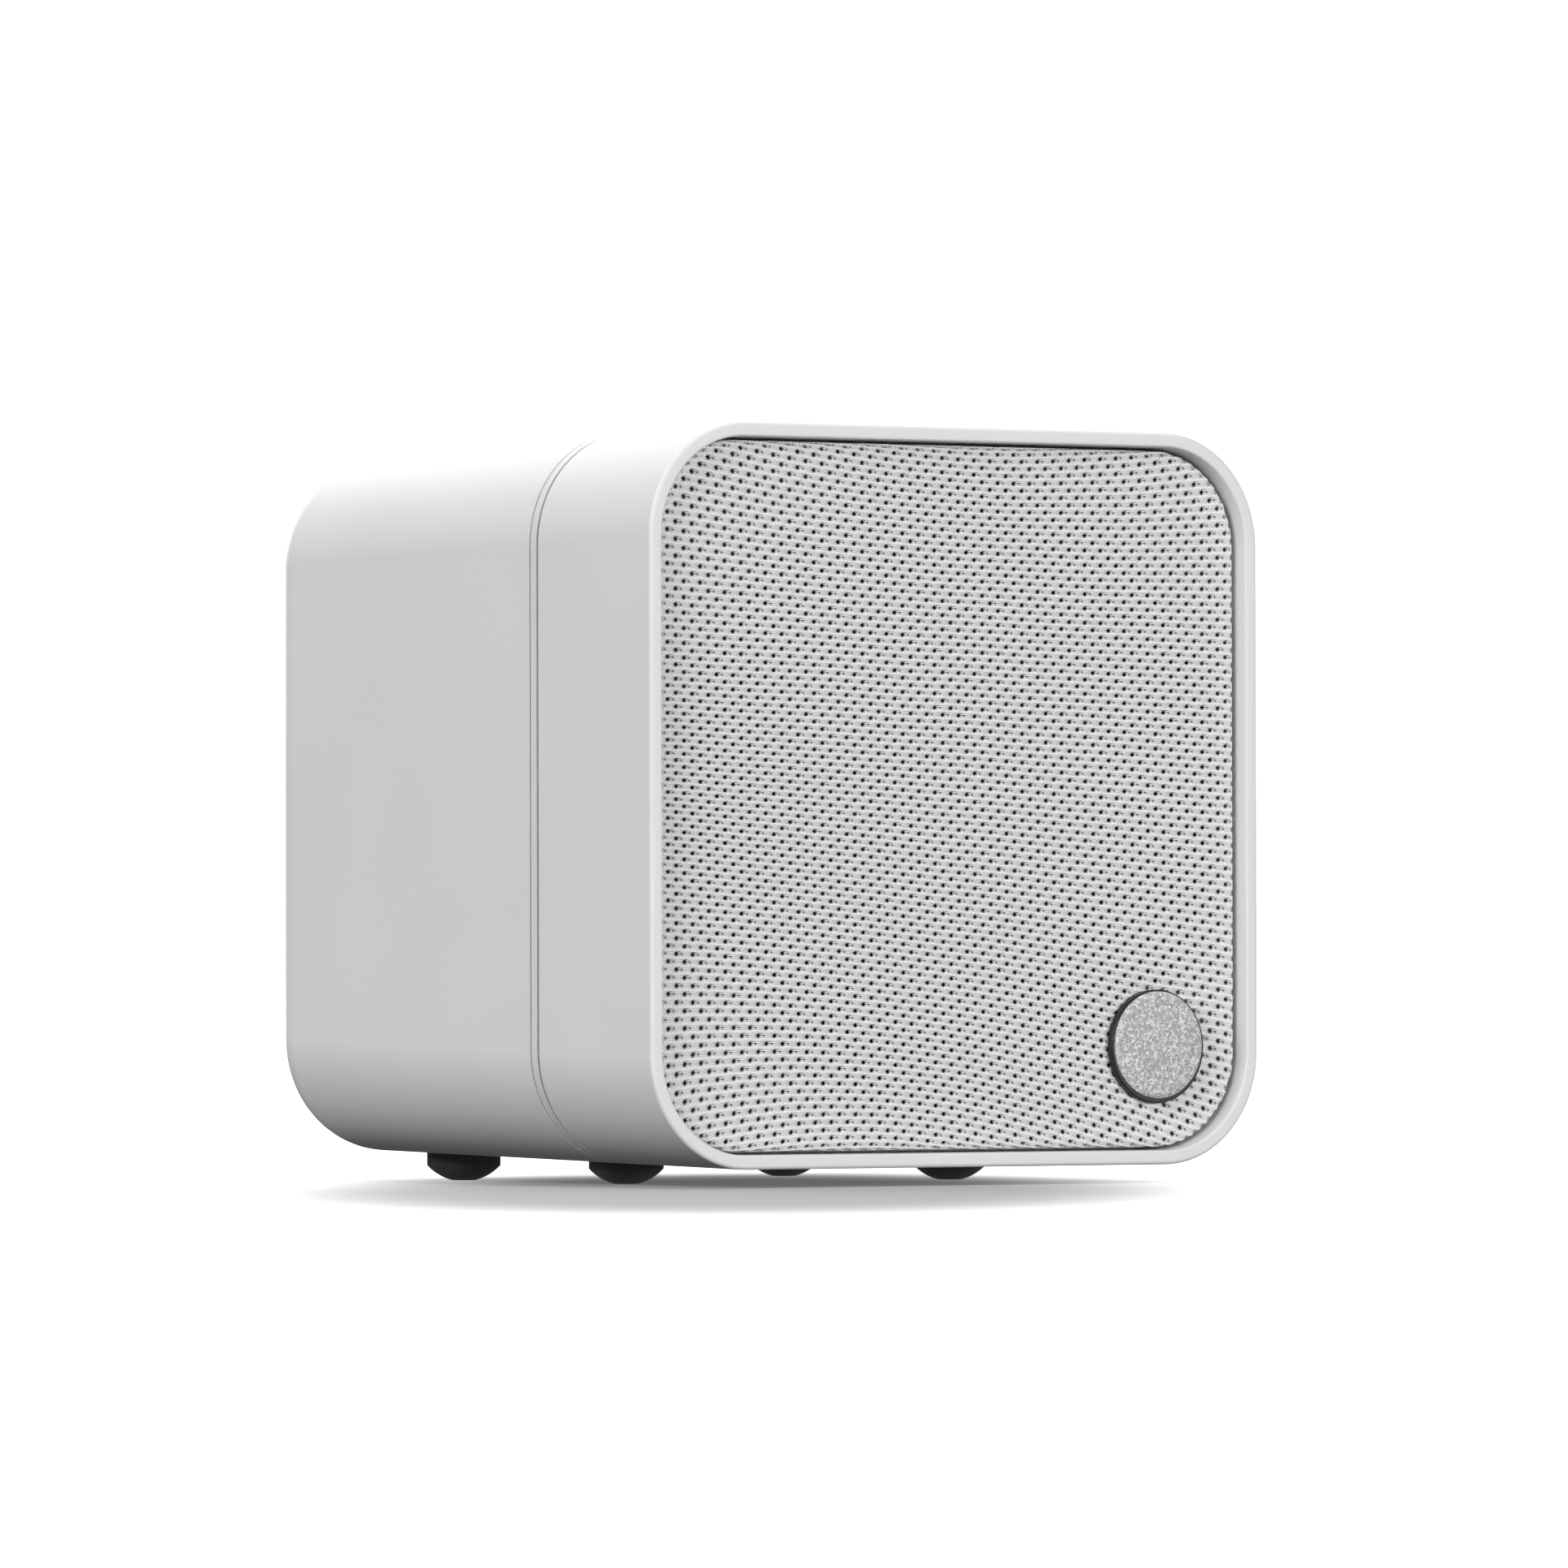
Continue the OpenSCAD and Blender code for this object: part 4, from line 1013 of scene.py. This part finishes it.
# %% [markdown]
# ## Terminals
# Each terminal stands in a coloured collar. A loose brass washer lies on the collar,
# and a knurled cap with a brass bush screws down over it to clamp the wire. The cap is
# turned first, then its rim is pressed in along eighteen grooves for the grip.


# %% Collars, washers and caps
def rounded_ring(inner, outer, near, far, soft):
    """A closed section with rounded outer corners."""
    section = [(inner, near)] + arc(outer - soft, near + soft, soft, -90, 0, 3)
    return section + arc(outer - soft, far - soft, soft, 0, 90, 3) + [(inner, far), (inner, near)]


bore_r, collar_r, collar_top = 3, 5, 68
washer_in, washer_r, washer_top = 3.1, 4.6, 68.8
cap_r, cap_top, bush_r, bush_start, shaft_end = 5.6, 85, 4.2, 80.8, 83.6
grip_start, grip_stop, grooves, groove_w, groove_press = 70.9, 82.9, 18, 0.5, 0.45
for colour, side in (("red", -1), ("black", 1)):
    at = (side * post_x, dish_mid.z)
    section = [(bore_r, bowl_under), (spigot_r, bowl_under), (spigot_r, bowl_floor)]
    section += rounded_ring(spigot_r, collar_r, bowl_floor, collar_top, 0.25)[1:-2]
    section += [(bore_r, collar_top), (bore_r, bowl_under)]
    lathed(f"collar_{colour}", f"post_collar_{colour}", section, at)
    section = rounded_ring(washer_in, washer_r, collar_top, washer_top, 0.2)
    lathed(f"washer_{colour}", f"clamp_washer_{colour}", section, at)
    bm = bmesh.new()
    section = [(bush_r, washer_top)] + arc(cap_r - 0.3, washer_top + 0.3, 0.3, -90, 0, 3)
    section += [(cap_r, depth) for depth in (grip_start - 0.5, grip_start, grip_stop)]
    section += [(cap_r, grip_stop + 0.5)] + arc(cap_r - 0.8, cap_top - 0.8, 0.8, 0, 90, 5)
    section += arc(2.9, cap_top - 0.3, 0.3, 90, 180, 3) + [(2.6, shaft_end), (3.4, shaft_end)]
    section += [(3.4, bush_start), (bush_r, bush_start), (bush_r, washer_top)]
    turned(bm, section, (0, 0), steps=grooves * 10)
    for vert in bm.verts:
        on_grip = grip_start - 0.1 < vert.co.y < grip_stop + 0.1
        if on_grip and math.hypot(vert.co.x, vert.co.z) > 5:
            phase = math.atan2(vert.co.z, vert.co.x) * grooves / math.tau
            off = abs(phase - round(phase)) * math.tau / grooves * cap_r
            press = math.sqrt(max(1 - (off / groove_w) ** 2, 0)) * groove_press
            vert.co.x *= 1 - press / cap_r
            vert.co.z *= 1 - press / cap_r
    bmesh.ops.translate(bm, vec=(at[0], 0, at[1]), verts=bm.verts)
    placed(bm, f"knurled_cap_{colour}", f"cap_{colour}", 36)

# %% [markdown]
# ## Bracket insert and keyhole plate
# The insert is a brass nut moulded into the back, with its thread cut as rings. The
# keyhole plate is stamped from steel sheet: the head of a wall screw goes through its
# round end, and its slot then drops over the screw's neck.

# %% Insert
thread_pitch, thread_deep, hole_r = 1.0, 0.35, 3.2
section = [(0, insert_low.y), (insert_high.x, insert_low.y), (insert_high.x, back_d - 0.15)]
section += [(insert_high.x - 0.15, back_d), (hole_r + 0.5, back_d), (hole_r, back_d - 0.5)]
turns = int((back_d - 1.5 - insert_low.y) / thread_pitch)
for k in range(turns):
    top = back_d - 0.7 - k * thread_pitch
    section += [(hole_r, top), (hole_r + thread_deep, top - thread_pitch / 2)]
section += [(hole_r, insert_low.y + 1), (0, insert_low.y + 1)]
lathed("threaded_insert", "bracket_insert", section, (0, insert_mid.z), 30)

# %% Keyhole plate
head_z, slot_top, head_hole_r, neck_r, screw_hole_r = 19.6, 24.2, 4.2, 2.1, 2
plate_half = (plate_high - plate_low) / 2


def keyhole():
    """Points round the keyhole: its round end from neck to neck, then the slot's top."""
    lip = math.degrees(math.acos(neck_r / head_hole_r))
    round_end = arc(0, head_z, head_hole_r, lip, -180 - lip, 40)
    return round_end + arc(0, slot_top, neck_r, 180, 0, 16)


bm = bmesh.new()
edge = arc(0.15, plate_low.y + 0.15, 0.15, 270, 180, 2) + arc(0.3, back_d - 0.3, 0.3, 180, 90, 3)
carried(bm, edge, plate_half.x, plate_half.z, plate_r, (0, plate_mid.z), steps=10)
pierced_wall(bm, plate_low.y, back_d, lambda depth: [
    wire(bm, keyhole(), depth),
    *(round_rim(bm, screw_hole_r, (side * plate_screw_x, plate_mid.z), depth, 36)
      for side in both)])
even_shading(placed(bm, "stamped_plate", "keyhole_plate", 40))

# %% [markdown]
# ## Diaphragm, surround and spider
# The flat diaphragm moves in and out. The rubber half roll round its edge and the
# pleated cloth ring behind it bend when it travels: their outer edges stay with the
# basket and their inner edges go with the diaphragm. Each ring is built as separate
# sectors, each spun either side of its own middle.

# %% Diaphragm
cone_low, cone_high = span("diaphragm")
cone_r = cone_high.x
crest, face, bead_in, bead_out, bead_w = cone_low.y, cone_low.y + 0.1, 7, 21.2, 0.6
section = [(0, face), (bead_in - bead_w, face), (bead_in, crest), (bead_in + bead_w, face)]
section += [(bead_out - bead_w, face), (bead_out, crest)]
section += arc(cone_r - 0.3, crest + 0.3, 0.3, -90, 0, 3)
section += [(cone_r, cone_high.y), (0, cone_high.y)]
lathed("flat_diaphragm", "diaphragm", section, (0, 0), steps=128)


# %% Sectors that bend
def sectors(name, node, section, count):
    """Spins a closed section round the axis in separate sectors."""
    share = math.tau / count
    for k in range(count):
        bm = bmesh.new()
        line = [bm.verts.new((radius, depth, 0)) for radius, depth in section]
        edges = [bm.edges.new(pair) for pair in zip(line, line[1:] + line[:1])]
        back_turn = Matrix.Rotation(share / 2 - k * share, 3, "Y")
        bmesh.ops.rotate(bm, matrix=back_turn, verts=line)
        bmesh.ops.spin(bm, geom=line + edges, cent=(0, 0, 0), axis=(0, 1, 0), angle=-share,
                       steps=max(4, round(64 / count)))
        borders = [edge for edge in bm.edges if edge.is_boundary]
        bmesh.ops.holes_fill(bm, edges=borders, sides=0)
        piece = placed(bm, f"{name}_{k:02d}", node, 50, body="bends")
        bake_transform(piece)


roll_back, skin_t, roll_mid, roll_r = 6.6, 0.5, 25.5, 1.5
land_out, land_in = 28.2, 23.1
roll_front = roll_back - skin_t
skin_ring = [(land_out, roll_back), (land_out, roll_front)]
skin_ring += arc(roll_mid, roll_front, roll_r, 0, -180, 12)
skin_ring += [(land_in, roll_front), (land_in, roll_back)]
skin_ring += arc(roll_mid, roll_back, roll_r - skin_t, -180, 0, 12)
sectors("roll_edge", "surround", skin_ring, 16)

spider_high = span("spider")[1]
spider_in, pleats_out, spider_out = 9.65, 22.4, spider_high.x
ledge, cloth_t, pleat = spider_high.y, 0.4, 0.5
front_cloth, back_cloth = [], []
for k in range(41):
    radius = spider_in + (pleats_out - spider_in) * k / 40
    depth = ledge - cloth_t - pleat + pleat * math.cos(math.tau * k / 10)
    front_cloth.append((radius, depth))
    back_cloth.append((radius, depth + cloth_t))
rim_land = [(spider_out, ledge - cloth_t), (spider_out, ledge)]
sectors("pleated_ring", "spider", front_cloth + rim_land + back_cloth[::-1], 8)

# %% [markdown]
# ## Tinsel leads
# Two braided leads carry the signal to the moving coil. They are limp on purpose, so
# they bend with the cone.


# %% Leads
def tube(bm, path, radius, sides=10):
    """A round cord through points, with its ends filled."""
    rings = []
    for k, point in enumerate(path):
        along = (path[min(k + 1, len(path) - 1)] - path[max(k - 1, 0)]).normalized()
        place = Matrix.Translation(point) @ along.to_track_quat("Z", "Y").to_matrix().to_4x4()
        ends = k in (0, len(path) - 1)
        ring = bmesh.ops.create_circle(bm, radius=radius, segments=sides, matrix=place,
                                       cap_ends=ends)
        rings.append(loop_edges(ring["verts"]))
    for near, far in zip(rings, rings[1:]):
        bmesh.ops.bridge_loops(bm, edges=near + far)


lead_low, lead_high = span("tinsel_leads")
lead_r = 0.4
lead_x = lead_high.x - lead_r
bm = bmesh.new()
for side in both:
    d, corner = lead_low.y + lead_r, lead_low.z + lead_r
    path = [Vector((side * lead_x, lead_high.y, corner))]
    path += [Vector((side * lead_x, d + 1.2 * (1 - math.sin(a)), corner + 1.2 * (1 - math.cos(a))))
             for a in (math.radians(15 * k) for k in range(7))]
    path += [Vector((side * lead_x, d, corner + 1.2 + (lead_high.z - corner - 1.2) * k / 8))
             for k in range(1, 9)]
    tube(bm, path, lead_r - 0.02)
leads = placed(bm, "braided_leads", "tinsel_leads", 60, body="bends")
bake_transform(leads)

# %% [markdown]
# ## Wadding
# A loose block of polyester wadding fills the space behind the driver. Its corners are
# broadly rounded and its faces are lumpy.

# %% Wadding
wad_low, wad_high = span("damping_wadding")
wad_mid, wad_half = (wad_low + wad_high) / 2, (wad_high - wad_low) / 2
soft_corner = 6
bm = bmesh.new()
block = bmesh.ops.create_cube(bm, size=2)["verts"]
bmesh.ops.scale(bm, vec=wad_half, verts=block)
bmesh.ops.subdivide_edges(bm, edges=bm.edges, cuts=31, use_grid_fill=True)
for vert in bm.verts:
    core = Vector(max(-reach + soft_corner, min(reach - soft_corner, value))
                  for value, reach in zip(vert.co, wad_half))
    lump = 0.5 + 0.5 * noise.noise(vert.co * 0.11) + 0.35 * abs(noise.noise(vert.co * 0.4))
    vert.co = core + (vert.co - core).normalized() * (soft_corner - 1.3 * max(lump, 0))
bmesh.ops.translate(bm, vec=wad_mid, verts=bm.verts)
placed(bm, "wadding_block", "damping_wadding", 180)

# %% [markdown]
# ## Finishes for the parts that stay
# The engineering model's pieces that are not hidden keep their place and take the
# finish of their slot.

# %% Finish the parts that stay
for node, cad in nodes.items():
    if not cad.hide_render:
        cad.data.materials.clear()
        cad.data.materials.append(finishes[slot_of[node]])
